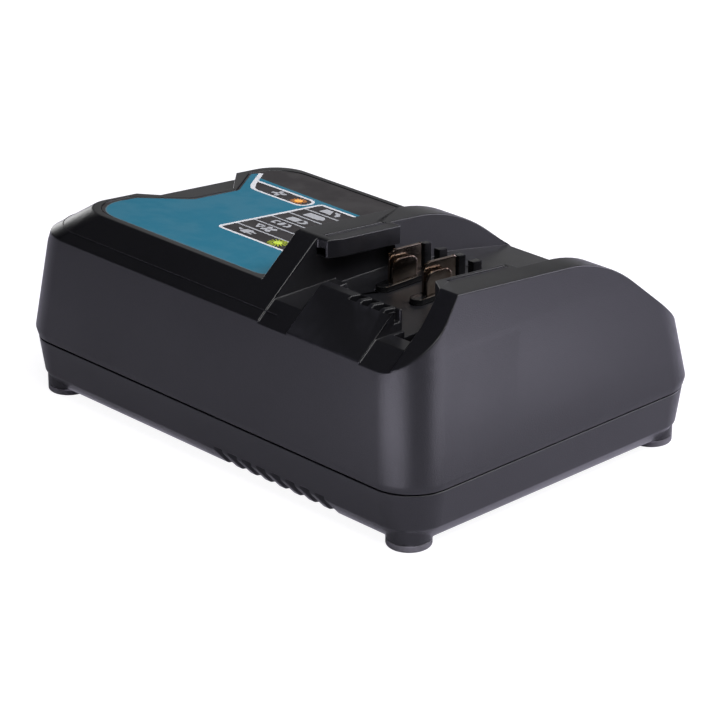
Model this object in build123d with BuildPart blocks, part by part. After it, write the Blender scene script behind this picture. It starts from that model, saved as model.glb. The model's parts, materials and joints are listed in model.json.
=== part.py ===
from build123d import *

import os
from math import cos, radians, sin, tan

# Power tool battery charger.
# X runs along the charger from the label end (-X) to the battery bay (+X),
# Y from the open mouth of the bay (-Y) to the sloped front (+Y), Z is up.
# The origin is on the ground under the middle of the outline.

# ---------------------------------------------------------------- driving dimensions
half_length = 95.5
half_width = 67.7
corner_radius = 15.0
wall = 2.6
seam_z = 21.0
widest_z = 24.0
seam_inset = 0.6
form_top_z = 84.0
draft_bay_end = 0.10
draft_label_end = 0.15
ledge_z = 55.0
draft_ledge = 0.36
draft_rear = 0.10
draft_front = 0.21

top_tilt = 4.86
slope_angle = 39.6
rail_z = 76.7
label_z = 62.7
rear_ref_y = -54.0
rear_ref_z = 67.2
front_ref_y = 30.0
front_ref_z = 68.35
plateau_end_x = -83.1
plateau_end_z = 63.5
plateau_end_y = -50.0
plateau_end_turn = 0.091
plateau_radius = 13.0
hump_radius = 53.0
rear_crest_radius = 4.0
bay_side_x = 14.5
outer_rail_x = 75.0
outer_ramp_top_y = -42.6
outer_ramp_foot_y = -50.0
outer_ramp_radius = 20.0

notch_depth = 4.5
notch_x = -66.3
notch_mouth_x = -84.0
notch_near_y = -14.5
notch_far_y = 5.0
notch_run = 17.7

label_recess = 0.6
label_thickness = 0.45
label_gap = 0.15
label_end_x = -77.2
label_bay_x = 13.0
label_near_y = -51.2
label_far_y = 38.6
label_notch_x = -64.0
label_corner = 13.0
label_bay_corner = 5.0
label_small_corner = 4.0

inner_flange_x = 29.8
outer_flange_x = 76.0
wall_flare = 4.9
inner_channel_x = 24.0
outer_channel_x = 82.0
flange_depth = 6.2
flange_front_y = -38.6
channel_end_y = -7.5
channel_step = 0.6
flange_lead_in = 6.0
flange_lead_out = 1.4
floor_z = 62.0
side_floor_z = 64.0
mouth_y = -31.0
floor_break_y = 17.0
floor_front_y = 42.3
floor_front_z = 57.8

vent_block_x0 = 37.0
vent_block_x1 = 69.5
vent_block_crease_y = -54.5
vent_block_top_y = -50.8
vent_block_back_y = -46.0
vent_block_top_z = 70.8
vent_count = 4
vent_first_x = 52.9
vent_pitch = 5.1
vent_width = 3.0
vent_near_y = -50.5
vent_lip = 0.8
vent_skew = 1.2

pocket_x0 = 70.8
pocket_x1 = 80.8
pocket_y0 = -50.5
pocket_y1 = -31.5
pocket_z = 56.5

groove_width = 1.3
groove_depth = 0.9
inner_groove_x = 24.2
outer_groove_x = 78.2
groove_near_y = -35.6
groove_far_y = -9.6

lower_bottom_z = 2.8
lower_edge_z = 8.1
lower_edge_inset = 1.8
lower_bevel = 4.1
lower_hollow_z = 9.0
lower_hollow_bevel = 3.2
lower_floor = 2.2
seam_gap = 0.4
seam_gap_depth = 1.1
base_vent_count = 8
base_vent_first_x = 5.2
base_vent_pitch = 6.84
base_vent_width = 3.4
base_vent_top_z = 9.2
base_vent_depth = 15.0
base_vent_slant = 28.0

foot_x = 83.2
foot_y = 56.05
foot_radius = 7.3
foot_height = 2.45
foot_boss_radius = 7.3
foot_plug_radius = 3.0
foot_plug_height = 1.6

case_screw_x = 72.0
case_screw_y = 57.4
case_boss_radius = 4.0
case_screw_radius = 1.5
case_screw_head_radius = 3.0
case_screw_head_height = 2.4
screw_slack = 0.1

board_x0 = -84.0
board_x1 = 9.0
board_half_width = 46.0
board_z = 12.0
board_thickness = 1.6
board_hole_inset = 5.0
standoff_radius = 3.2
board_screw_radius = 1.2
board_screw_length = 6.0

fan_x = 44.0
fan_y = -27.0
fan_size = 50.0
fan_height = 15.0
fan_z = 20.0
fan_bore_radius = 23.2
fan_screw_offset = 21.0
fan_screw_radius = 1.5
fan_pillar_radius = 3.4
hub_radius = 11.6
hub_wall = 1.2
hub_height = 9.6
fan_blade_count = 7
fan_blade_pitch = 38.0
fan_blade_thickness = 1.3
fan_tip_radius = 22.5
fan_blade_height = 8.8
shaft_radius = 1.0
shaft_clearance = 0.04
bearing_radius = 2.6
bearing_length = 7.0
fan_cup_radius = 11.0
strut_width = 2.4
strut_height = 1.8

blade_x = (36.9, 52.2)
blade_thickness = 1.0
blade_near_y = -20.0
blade_far_y = -5.6
blade_top_z = 73.6
blade_corner = 3.2
leaf_offset = 2.3
leaf_near_y = -20.7
leaf_far_y = -9.8
leaf_top_z = 71.2
leaf_thickness = 0.8
plinth_half_width = 2.5
plinth_near_y = -25.8
plinth_far_y = 10.0
plinth_top_z = 63.7
post_near_y = -5.2
post_far_y = -2.0
nub_near_y = 1.5
nub_far_y = 5.4
post_top_z = 72.8
nub_top_z = 68.9
post_fall = 0.3
post_width = 2.6
terminal_board_z = 52.0
terminal_x0 = 27.0
terminal_x1 = 63.0
terminal_y0 = -24.0
terminal_y1 = 15.0
terminal_screw_inset = 3.6
block_inset = 1.0
block_wall = 2.0

gland_y = 30.0
gland_z = seam_z
gland_bore_radius = 3.6
gland_neck_radius = 5.6
gland_flange_radius = 7.4
gland_recess_depth = 1.6

charge_light_x = -10.9
charge_light_y = -23.9
alarm_light_x = -42.6
alarm_light_y = 14.2
light_slack = 0.15
indicator_z = 47.0
indicator_x0 = -52.0
indicator_x1 = -2.0
indicator_y0 = -33.0
indicator_y1 = 22.0
indicator_post_radius = 2.6

sheet_x = -37.0
sheet_length = 66.0
sheet_width = 68.0
sheet_thickness = 0.4
sheet_corner = 6.0

transformer_x = -30.0
transformer_y = 0.0
core_length = 40.0
core_height = 30.0
core_depth = 14.0
window_offset = 9.6
window_width = 7.0
yoke_height = 6.4
winding_gap = 0.2
winding_length = 25.6
winding_depth = 27.0
winding_corner = 2.8

bulk_capacitor_place = (-66.0, -28.0)
bulk_capacitor_radius = 11.0
bulk_capacitor_height = 33.0
bulk_capacitor_round = 1.2
output_capacitor_places = ((1.0, -30.0), (1.0, -18.0))
output_capacitor_radius = 5.0
output_capacitor_height = 20.0
output_capacitor_round = 0.8
line_choke_place = (-60.0, 22.0)
choke_major = 7.0
choke_minor = 3.5
choke_base = 4.0
block_chamfer = 0.5

# place, length along X, width along Y and height above the board
line_capacitor_block = ((-74.0, -4.0), 18.0, 9.0, 15.0)
bridge_rectifier_block = ((-42.0, -41.0), 20.0, 4.0, 14.0)
switching_transistor_block = ((-30.0, -20.9), 10.0, 4.4, 17.0)
output_rectifier_block = ((-10.3, 21.0), 4.4, 10.0, 17.0)
mains_connector_block = ((-77.0, 28.0), 9.0, 11.0, 10.0)

fuse_x0 = -68.0
fuse_y = 39.0
fuse_length = 20.0
fuse_cap_length = 5.0
fuse_cap_radius = 2.6
fuse_glass_radius = 2.3

sink_plate = 1.8
sink_length = 42.0
sink_height = 26.0
sink_fin_depth = 6.0
sink_fin_pitch = 9.0
sink_fin_count = 5
primary_sink_x = -30.0
primary_sink_y = -24.2
secondary_sink_x = -7.0
secondary_sink_y = 20.0

indicator_thickness = 1.2
led_radius = 1.5
led_collar = 0.4
led_collar_height = 0.8
led_height = 4.0
led_dome = 0.8
light_foot_clearance = 0.3
light_radius = 2.4

terminal_screw_bite = 2.0
block_plate = 3.4
blade_slack = 0.05
blade_top_fall = 1.0
tail_width = 3.0

lead_top_x = 32.0
lead_foot_x = 5.0
lead_y = (5.0, 10.0)
lead_drop = 12.0
lead_radius = 0.9
lead_bend = 5.4

stator_radius = 9.0
stator_height = 6.0
blade_lift = 0.4
fan_screw_bite = 8.0
duct_base = 50.0
duct_wall = 1.4
duct_top_z = 58.8
duct_top_place = (56.2, -54.2)
duct_top_length = 20.4
duct_top_width = 10.4
duct_pocket = 2.4

foot_round = 0.9
foot_names = ("foot_rear_left", "foot_rear_right", "foot_front_left", "foot_front_right")
gland_length = 6.4
gland_gap = 0.1
gland_seat = 0.4
grille_count = 5
grille_pitch = 7.0
grille_length = 34.0
grille_width = 3.2
vent_bottom_z = 66.8
case_screw_head_z = 9.0
case_screw_tip_z = 33.0

# ---------------------------------------------------------------- derived values
tilt = radians(top_tilt)
slope = radians(slope_angle)
above = 40.0
far = 130.0
board_top_z = board_z + board_thickness
floor_top_z = lower_bottom_z + lower_floor
indicator_top_z = indicator_z + indicator_thickness
light_foot_z = indicator_top_z + led_height + light_foot_clearance
base_vent_mid_y = half_width - seam_inset - lower_edge_inset
hub_z = fan_z + strut_height + 1.2
boss_z = fan_z + strut_height + bearing_length + 0.4

foot_places = [(x, y) for y in (-foot_y, foot_y) for x in (-foot_x, foot_x)]
case_screw_places = [
    (x, y) for y in (-case_screw_y, case_screw_y) for x in (-case_screw_x, case_screw_x)
]
board_screw_places = [
    (x, y)
    for x in (board_x0 + board_hole_inset, board_x1 - board_hole_inset)
    for y in (board_hole_inset - board_half_width, board_half_width - board_hole_inset)
]
fan_screw_places = [
    (fan_x + x, fan_y + y)
    for x in (-fan_screw_offset, fan_screw_offset)
    for y in (-fan_screw_offset, fan_screw_offset)
]
light_places = [(charge_light_x, charge_light_y), (alarm_light_x, alarm_light_y)]
indicator_screw_places = [
    (indicator_x0 + board_hole_inset, indicator_y0 + board_hole_inset),
    (indicator_x1 - board_hole_inset, indicator_y1 - board_hole_inset),
]
terminal_screw_places = [
    (x, (terminal_y0 + terminal_y1) / 2)
    for x in (terminal_x0 + terminal_screw_inset, terminal_x1 - terminal_screw_inset)
]


def tilted_plane(height):
    """Return the plane that crosses Z at the given height with the tilt of the top."""
    return Plane(origin=(0, 0, height), x_dir=(1, 0, 0), z_dir=(0, sin(tilt), cos(tilt)))


def rail_height(y):
    """Return the height of the rails' top at y."""
    return rail_z - y * tan(tilt)


def label_height(y):
    """Return the height of the label plateau at y."""
    return label_z - y * tan(tilt)


def rear_slope_z(y):
    """Return the height of the rear slope at y."""
    return rear_ref_z + (y - rear_ref_y) * tan(slope)


def front_slope_z(y):
    """Return the height of the front slope at y."""
    return front_ref_z - (y - front_ref_y) * tan(slope)


def crossing(height, start_y):
    """Return y where the tilted plane at height meets the front slope."""
    return (front_ref_z + front_ref_y * tan(slope) - height) / (tan(slope) - tan(tilt))


def case_form(inset):
    """Return the case's outer form, with every face moved inwards by inset."""
    drop = inset / cos(slope)
    top_drop = inset / cos(tilt)
    rise = form_top_z - widest_z
    ledge_rise = ledge_z - widest_z
    ledge_x0 = -half_length + draft_label_end * ledge_rise + inset
    ledge_x1 = half_length - draft_bay_end * ledge_rise - inset
    ledge_y0 = -half_width + draft_rear * ledge_rise + inset
    ledge_y1 = half_width - draft_front * ledge_rise - inset
    upper_x0 = ledge_x0 + draft_ledge * (form_top_z - ledge_z)
    upper_x1 = half_length - draft_bay_end * rise - inset
    upper_y0 = -half_width + draft_rear * rise + inset
    upper_y1 = half_width - draft_front * rise - inset
    inner_radius = corner_radius - inset
    seam_half_length = half_length - seam_inset - inset
    seam_half_width = half_width - seam_inset - inset
    rail_top = rail_z - top_drop
    hump_y = crossing(rail_top, front_ref_y) - drop / (tan(slope) - tan(tilt))
    rear_y = (rear_ref_z - rear_ref_y * tan(slope) - drop - rail_top) / -(tan(slope) + tan(tilt))
    low_z = 40.0
    high_z = 68.0
    run = 1 / tan(slope)
    shift = inset / sin(slope)

    with BuildPart() as roof:
        # the label end: a slope all round under the tilted plateau
        for z in (low_z, high_z):
            x0 = plateau_end_x - (plateau_end_z - z) * run + shift
            y0 = rear_ref_y - (rear_ref_z - z) * run + shift
            y1 = front_ref_y + (front_ref_z - z) * run - shift
            x1 = bay_side_x + above
            near_x0 = x0 + plateau_end_turn * (y0 - plateau_end_y)
            far_x0 = x0 + plateau_end_turn * (y1 - plateau_end_y)
            with BuildSketch(Plane.XY.offset(z)):
                with BuildLine():
                    FilletPolyline(
                        (x1, y0),
                        (x1, y1),
                        (far_x0, y1),
                        (near_x0, y0),
                        radius=[0, 0, plateau_radius, plateau_radius],
                        close=True,
                    )
                make_face()
        loft(ruled=True)
        split(bisect_by=Plane.YZ.offset(bay_side_x + inset), keep=Keep.BOTTOM)
        with BuildSketch(Plane.XY.offset(low_z)):
            with Locations((-half_length, 0)):
                Rectangle(2 * (half_length + bay_side_x + inset), 2 * far)
        extrude(amount=-low_z)
        split(bisect_by=tilted_plane(label_z - top_drop), keep=Keep.BOTTOM)
        # the bay end: rails, the rounded hump and both slopes
        start = (-far, rear_slope_z(-far) - drop)
        foot = (outer_ramp_foot_y, rear_slope_z(outer_ramp_foot_y) - drop)
        rear_crest = (rear_y, rail_top - rear_y * tan(tilt))
        ramp_crest = (outer_ramp_top_y + inset, rail_top - (outer_ramp_top_y + inset) * tan(tilt))
        hump = (hump_y, rail_top - hump_y * tan(tilt))
        end = (far, front_slope_z(far) - drop)
        for x0, x1, corners, radii in (
            (bay_side_x + inset, outer_rail_x, (rear_crest,), [rear_crest_radius - inset]),
            (outer_rail_x, far, (foot, ramp_crest), [outer_ramp_radius + inset, 0]),
        ):
            with BuildSketch(Plane.YZ.offset(x0)):
                with BuildLine():
                    FilletPolyline(start, *corners, hump, end, radius=[*radii, hump_radius - inset])
                    Polyline(end, (far, -far), (-far, -far), start)
                make_face()
            extrude(amount=x1 - x0)

    with BuildPart() as form:
        with BuildSketch(Plane.XY.offset(seam_z)):
            RectangleRounded(2 * seam_half_length, 2 * seam_half_width, inner_radius)
        with BuildSketch(Plane.XY.offset(widest_z)):
            RectangleRounded(2 * (half_length - inset), 2 * (half_width - inset), inner_radius)
        loft(ruled=True)
        with BuildSketch(Plane.XY.offset(widest_z)):
            RectangleRounded(2 * (half_length - inset), 2 * (half_width - inset), inner_radius)
        with BuildSketch(Plane.XY.offset(ledge_z)):
            with Locations(((ledge_x0 + ledge_x1) / 2, (ledge_y0 + ledge_y1) / 2)):
                RectangleRounded(ledge_x1 - ledge_x0, ledge_y1 - ledge_y0, inner_radius)
        loft(ruled=True)
        with BuildSketch(Plane.XY.offset(ledge_z)):
            with Locations(((ledge_x0 + ledge_x1) / 2, (ledge_y0 + ledge_y1) / 2)):
                RectangleRounded(ledge_x1 - ledge_x0, ledge_y1 - ledge_y0, inner_radius)
        with BuildSketch(Plane.XY.offset(form_top_z)):
            with Locations(((upper_x0 + upper_x1) / 2, (upper_y0 + upper_y1) / 2)):
                RectangleRounded(upper_x1 - upper_x0, upper_y1 - upper_y0, inner_radius)
        loft(ruled=True)
        add(roof.part, mode=Mode.INTERSECT)
    return form.part


def notch_cutter(grow):
    """Return the space of the notch in the label end, grown by grow on every side."""
    with BuildPart() as cutter:
        with BuildSketch(tilted_plane(label_z - notch_depth - grow)):
            with BuildLine():
                Polyline(
                    (notch_x + grow, notch_near_y - grow),
                    (notch_x + grow, notch_far_y + grow),
                    (notch_mouth_x, notch_far_y + grow + notch_run),
                    (notch_mouth_x - above, notch_far_y + grow + notch_run),
                    (notch_mouth_x - above, notch_near_y - grow - notch_run),
                    (notch_mouth_x, notch_near_y - grow - notch_run),
                    close=True,
                )
            make_face()
        extrude(amount=above)
    return cutter.part


def flared_trough(grow):
    """Return the bay's space beyond the flanges, whose side walls lean outwards."""
    with BuildPart() as trough:
        with BuildSketch(Plane.YZ.offset(inner_flange_x - wall_flare - grow)):
            with BuildLine():
                Polyline(
                    (channel_end_y - grow, floor_z - grow),
                    (floor_break_y, floor_z - grow),
                    (floor_front_y, floor_front_z - grow),
                    (far, floor_front_z - grow - (far - floor_front_y)),
                    (far, rail_z + above),
                    (channel_end_y - grow, rail_z + above),
                    close=True,
                )
            make_face()
        extrude(amount=outer_flange_x - inner_flange_x + 2 * (wall_flare + grow))
        with BuildSketch(Plane.XZ):
            with BuildLine():
                Polyline(
                    (inner_flange_x - grow, -far),
                    (inner_flange_x - grow, floor_front_z),
                    (inner_flange_x - wall_flare - grow, rail_z),
                    (inner_flange_x - wall_flare - grow, far),
                    (outer_flange_x + wall_flare + grow, far),
                    (outer_flange_x + wall_flare + grow, rail_z),
                    (outer_flange_x + grow, floor_front_z),
                    (outer_flange_x + grow, -far),
                    close=True,
                )
            make_face()
        extrude(amount=far, both=True, mode=Mode.INTERSECT)
    return trough.part


def bay_cutter(grow):
    """Return the space of the battery bay, grown by grow on every side."""
    sky = rail_z + above
    under_rear = rail_height(flange_front_y) - flange_depth
    under_end = rail_height(channel_end_y) - flange_depth
    left_x0 = inner_channel_x - grow
    left_x1 = vent_block_x0 + grow
    right_x0 = vent_block_x1 - grow
    right_x1 = outer_channel_x + grow
    with BuildPart() as cutter:
        # the trough between the flanges, open at the front
        with BuildSketch(Plane.YZ.offset(inner_flange_x - grow)):
            with BuildLine():
                Polyline(
                    (vent_block_back_y - grow, floor_z - grow),
                    (floor_break_y, floor_z - grow),
                    (floor_front_y, floor_front_z - grow),
                    (far, floor_front_z - grow - (far - floor_front_y)),
                    (far, sky),
                    (vent_block_back_y - grow, sky),
                    close=True,
                )
            make_face()
        extrude(amount=outer_flange_x - inner_flange_x + 2 * grow)
        # the wider trough beyond the flanges, with leaning walls
        add(flared_trough(grow))
        # above the vent block
        with BuildSketch(Plane.YZ.offset(left_x0)):
            with BuildLine():
                Polyline(
                    (-far / 2, floor_z),
                    (vent_block_crease_y, rear_slope_z(vent_block_crease_y) - grow),
                    (vent_block_top_y, vent_block_top_z - grow),
                    (vent_block_back_y, vent_block_top_z - grow),
                    (vent_block_back_y, sky),
                    (-far / 2, sky),
                    close=True,
                )
            make_face()
        extrude(amount=outer_flange_x - left_x0)
        # the rear slope, a step lower in the two side channels
        for x0, x1 in ((left_x0, left_x1), (right_x0, right_x1)):
            with BuildSketch(Plane.YZ.offset(x0)):
                with BuildLine():
                    Polyline(
                        (-far / 2, rear_slope_z(-far / 2) - channel_step - grow),
                        (vent_block_back_y, rear_slope_z(vent_block_back_y) - channel_step - grow),
                        (vent_block_back_y, sky),
                        (-far / 2, sky),
                        close=True,
                    )
                make_face()
            extrude(amount=x1 - x0)
        # the two side channels in the mouth
        with BuildSketch(Plane.XY.offset(side_floor_z - grow)):
            with BuildLine():
                Polyline(
                    (left_x0, -far),
                    (left_x0, flange_front_y),
                    (inner_flange_x - flange_lead_out, flange_front_y),
                    (inner_flange_x, flange_front_y + flange_lead_in),
                    (left_x1, flange_front_y + flange_lead_in),
                    (left_x1, -far),
                    close=True,
                )
            make_face()
            with BuildLine():
                Polyline(
                    (right_x0, -far),
                    (right_x0, flange_front_y),
                    (outer_flange_x, flange_front_y),
                    (right_x1, outer_ramp_top_y),
                    (right_x1, -far),
                    close=True,
                )
            make_face()
        extrude(amount=sky - side_floor_z)
        # their runs under the flanges
        with BuildSketch(Plane.YZ.offset(left_x0)):
            with BuildLine():
                Polyline(
                    (vent_block_back_y - grow, side_floor_z - grow),
                    (mouth_y, side_floor_z - grow),
                    (mouth_y, floor_z - grow),
                    (channel_end_y + grow, floor_z - grow),
                    (channel_end_y + grow, under_end),
                    (flange_front_y, under_rear),
                    (vent_block_back_y - grow, under_rear),
                    close=True,
                )
            make_face()
        extrude(amount=right_x1 - left_x0)
        # the deep pocket beside the vent block
        with BuildSketch(Plane.XY.offset(pocket_z - grow)):
            with Locations(((pocket_x0 + pocket_x1) / 2, (pocket_y0 + pocket_y1) / 2)):
                Rectangle(pocket_x1 - pocket_x0 + 2 * grow, pocket_y1 - pocket_y0 + 2 * grow)
        extrude(amount=side_floor_z - pocket_z + grow)
    return cutter.part


def label_outline(gap):
    """Return the label's outline as a flat sketch, moved inwards by gap."""
    near, wide, end = label_bay_corner, label_corner, label_small_corner
    with BuildSketch() as outline:
        with BuildLine():
            FilletPolyline(
                (label_bay_x - gap, label_near_y + gap),
                (label_bay_x - gap, label_far_y - gap),
                (label_end_x + gap, label_far_y - gap),
                (label_end_x + gap, notch_far_y + notch_run + gap),
                (label_notch_x + gap, notch_far_y + gap),
                (label_notch_x + gap, notch_near_y - gap),
                (label_end_x + gap, notch_near_y - notch_run - gap),
                (label_end_x + gap, label_near_y + gap),
                radius=[near, near, wide, end, end, end, end, wide],
                close=True,
            )
        make_face()
    return outline.sketch


# ---------------------------------------------------------------- casing
outer_form = case_form(0)
inner_form = case_form(wall)
outer_notch = notch_cutter(0)
inner_notch = notch_cutter(wall)
outer_bay = bay_cutter(0)
inner_bay = bay_cutter(wall)

with BuildPart() as cavity:
    add(inner_form)
    add(inner_notch, mode=Mode.SUBTRACT)
    add(inner_bay, mode=Mode.SUBTRACT)

with BuildPart() as casing_block:
    add(outer_form)
    add(outer_notch, mode=Mode.SUBTRACT)
    add(outer_bay, mode=Mode.SUBTRACT)

with BuildPart() as inner_posts:
    # screw bosses down to the seam, and posts for the indicator board
    with BuildSketch(Plane.XY.offset(seam_z)):
        with Locations(*case_screw_places):
            Circle(case_boss_radius)
    extrude(amount=form_top_z)
    with BuildSketch(Plane.XY.offset(indicator_top_z)):
        with Locations(*indicator_screw_places):
            Circle(indicator_post_radius)
    extrude(amount=form_top_z)
    add(casing_block.part, mode=Mode.INTERSECT)
    with BuildSketch(Plane.XY.offset(seam_z)):
        with Locations(*case_screw_places):
            Circle(case_screw_radius + screw_slack)
    extrude(amount=case_screw_tip_z + 1 - seam_z, mode=Mode.SUBTRACT)
    with BuildSketch(Plane.XY.offset(indicator_top_z)):
        with Locations(*indicator_screw_places):
            Circle(board_screw_radius + screw_slack)
    extrude(amount=board_screw_length, mode=Mode.SUBTRACT)

with BuildPart() as gland_space:
    # the hole that both halves of the casing leave round the cord gland
    with BuildSketch(Plane.YZ.offset(-half_length - wall)):
        with Locations((gland_y, gland_z)):
            Circle(gland_neck_radius + light_slack)
    extrude(amount=4 * wall)
    with BuildSketch(Plane.YZ.offset(-half_length - wall)):
        with Locations((gland_y, gland_z)):
            Circle(gland_flange_radius + light_slack)
    extrude(amount=wall + gland_recess_depth)

with BuildPart() as upper_case:
    add(casing_block.part)
    add(cavity.part, mode=Mode.SUBTRACT)
    add(inner_posts.part)
    # the recess for the label
    with BuildSketch(tilted_plane(label_z - label_recess)):
        add(label_outline(0))
    extrude(amount=2 * label_recess, mode=Mode.SUBTRACT)
    # the holes for the two light pipes
    with BuildSketch(Plane.XY.offset(indicator_top_z)):
        with Locations(*light_places):
            Circle(light_radius)
    extrude(amount=above, mode=Mode.SUBTRACT)
    # the slanted air slots in the top of the vent block
    with BuildSketch(Plane.XY.offset(vent_bottom_z)):
        for i in range(vent_count):
            near_x = vent_first_x + i * vent_pitch - vent_skew / 2
            far_x = near_x + vent_skew
            with BuildLine():
                Polyline(
                    (near_x - vent_width / 2, vent_near_y),
                    (near_x + vent_width / 2, vent_near_y),
                    (far_x + vent_width / 2, vent_block_back_y - vent_lip),
                    (far_x - vent_width / 2, vent_block_back_y - vent_lip),
                    close=True,
                )
            make_face()
    extrude(amount=above, mode=Mode.SUBTRACT)
    # the slots that the terminal block's plinths stand in
    with BuildSketch(Plane.XY.offset(floor_z - 2 * wall)):
        for x in blade_x:
            with Locations((x + leaf_offset / 2, (plinth_near_y + plinth_far_y) / 2)):
                SlotOverall(
                    plinth_far_y - plinth_near_y + 2 * light_slack,
                    2 * (plinth_half_width + light_slack),
                    rotation=90,
                )
    extrude(amount=3 * wall, mode=Mode.SUBTRACT)
    # blind pilot holes for the terminal screws
    with BuildSketch(Plane.XY.offset(floor_z - wall)):
        with Locations(*terminal_screw_places):
            Circle(board_screw_radius + screw_slack)
    extrude(amount=terminal_screw_bite, mode=Mode.SUBTRACT)
    # the long grooves in both rails
    with BuildSketch(tilted_plane(rail_z - groove_depth)):
        for x in (inner_groove_x, outer_groove_x):
            with Locations((x, (groove_near_y + groove_far_y) / 2)):
                SlotOverall(groove_far_y - groove_near_y, groove_width, rotation=90)
    extrude(amount=2 * groove_depth, mode=Mode.SUBTRACT)
    add(gland_space.part, mode=Mode.SUBTRACT)
upper_case.part.label = "upper_case"

with BuildPart() as lower_case:
    seam_length = 2 * (half_length - seam_inset)
    seam_width = 2 * (half_width - seam_inset)
    edge_inset = 2 * lower_edge_inset
    bevel_inset = edge_inset + 2 * lower_bevel
    hollow_inset = edge_inset + 2 * lower_hollow_bevel + 2 * wall
    # the outer form: a bevelled bottom edge under a drafted wall
    with BuildSketch(Plane.XY.offset(lower_bottom_z)):
        RectangleRounded(
            seam_length - bevel_inset, seam_width - bevel_inset, corner_radius - bevel_inset / 2
        )
    with BuildSketch(Plane.XY.offset(lower_edge_z)):
        RectangleRounded(
            seam_length - edge_inset, seam_width - edge_inset, corner_radius - edge_inset / 2
        )
    loft(ruled=True)
    with BuildSketch(Plane.XY.offset(lower_edge_z)):
        RectangleRounded(
            seam_length - edge_inset, seam_width - edge_inset, corner_radius - edge_inset / 2
        )
    with BuildSketch(Plane.XY.offset(seam_z)):
        RectangleRounded(seam_length, seam_width, corner_radius)
    loft(ruled=True)
    # the bosses over the feet
    with BuildSketch(Plane.XY.offset(foot_height)):
        with Locations(*foot_places):
            Circle(foot_boss_radius)
    extrude(amount=lower_edge_z - foot_height)
    # the hollow, bevelled like the outer form
    with BuildSketch(Plane.XY.offset(floor_top_z)):
        RectangleRounded(
            seam_length - hollow_inset, seam_width - hollow_inset, corner_radius - hollow_inset / 2
        )
    with BuildSketch(Plane.XY.offset(lower_hollow_z)):
        RectangleRounded(
            seam_length - edge_inset - 2 * wall,
            seam_width - edge_inset - 2 * wall,
            corner_radius - edge_inset / 2 - wall,
        )
    loft(ruled=True, mode=Mode.SUBTRACT)
    with BuildSketch(Plane.XY.offset(lower_hollow_z)):
        RectangleRounded(
            seam_length - edge_inset - 2 * wall,
            seam_width - edge_inset - 2 * wall,
            corner_radius - edge_inset / 2 - wall,
        )
    with BuildSketch(Plane.XY.offset(seam_z)):
        RectangleRounded(seam_length - 2 * wall, seam_width - 2 * wall, corner_radius - wall)
    loft(ruled=True, mode=Mode.SUBTRACT)
    # the shadow gap along the seam
    with BuildSketch(Plane.XY.offset(seam_z - seam_gap)):
        RectangleRounded(seam_length + wall, seam_width + wall, corner_radius)
        RectangleRounded(
            seam_length - 2 * seam_gap_depth,
            seam_width - 2 * seam_gap_depth,
            corner_radius - seam_gap_depth,
            mode=Mode.SUBTRACT,
        )
    extrude(amount=2 * seam_gap, mode=Mode.SUBTRACT)
    # screw bosses, board standoffs and fan pillars
    with BuildSketch(Plane.XY.offset(floor_top_z)):
        with Locations(*case_screw_places):
            Circle(case_boss_radius)
    extrude(amount=seam_z - floor_top_z)
    with BuildSketch(Plane.XY.offset(floor_top_z)):
        with Locations(*board_screw_places):
            Circle(standoff_radius)
    extrude(amount=board_z - floor_top_z)
    with BuildSketch(Plane.XY.offset(floor_top_z)):
        with Locations(*fan_screw_places):
            Circle(fan_pillar_radius)
    extrude(amount=fan_z - floor_top_z)
    # screw holes, counterbored from below for the case screws
    with BuildSketch(Plane.XY.offset(lower_bottom_z)):
        with Locations(*case_screw_places):
            Circle(case_screw_radius + screw_slack)
    extrude(amount=seam_z - lower_bottom_z, mode=Mode.SUBTRACT)
    with BuildSketch(Plane.XY.offset(lower_bottom_z)):
        with Locations(*case_screw_places):
            Circle(case_screw_head_radius + screw_slack)
    extrude(amount=case_screw_head_z - lower_bottom_z, mode=Mode.SUBTRACT)
    with BuildSketch(Plane.XY.offset(board_z - board_screw_length)):
        with Locations(*board_screw_places):
            Circle(board_screw_radius + screw_slack)
    extrude(amount=board_screw_length, mode=Mode.SUBTRACT)
    with BuildSketch(Plane.XY.offset(fan_z - fan_screw_bite)):
        with Locations(*fan_screw_places):
            Circle(fan_screw_radius + screw_slack)
    extrude(amount=fan_screw_bite, mode=Mode.SUBTRACT)
    # sockets for the plugs of the feet
    with BuildSketch(Plane.XY.offset(foot_height)):
        with Locations(*foot_places):
            Circle(foot_plug_radius + light_slack / 2)
    extrude(amount=foot_plug_height, mode=Mode.SUBTRACT)
    # slanted air slots through both long bottom edges
    with BuildSketch(Plane.XY.offset(lower_bottom_z)):
        for i in range(base_vent_count):
            for side in (-1, 1):
                place = (base_vent_first_x + i * base_vent_pitch, side * base_vent_mid_y)
                with Locations(place):
                    Rectangle(base_vent_width, base_vent_depth, rotation=side * base_vent_slant)
    extrude(amount=base_vent_top_z - lower_bottom_z, mode=Mode.SUBTRACT)
    # the intake grille under the fan
    with BuildSketch(Plane.XY.offset(lower_bottom_z)):
        with Locations((fan_x, fan_y)):
            with GridLocations(0, grille_pitch, 1, grille_count):
                SlotOverall(grille_length, grille_width)
    extrude(amount=lower_floor, mode=Mode.SUBTRACT)
    add(gland_space.part, mode=Mode.SUBTRACT)
lower_case.part.label = "lower_case"

# ---------------------------------------------------------------- label, lights, feet, gland
with BuildPart() as light_columns:
    with BuildSketch(Plane.XY.offset(light_foot_z)):
        with Locations(*light_places):
            Circle(light_radius)
    extrude(amount=above)
    split(bisect_by=tilted_plane(label_z - label_recess + label_thickness), keep=Keep.BOTTOM)
charge_column, alarm_column = light_columns.part.solids().sort_by(Axis.X, reverse=True)

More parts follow.
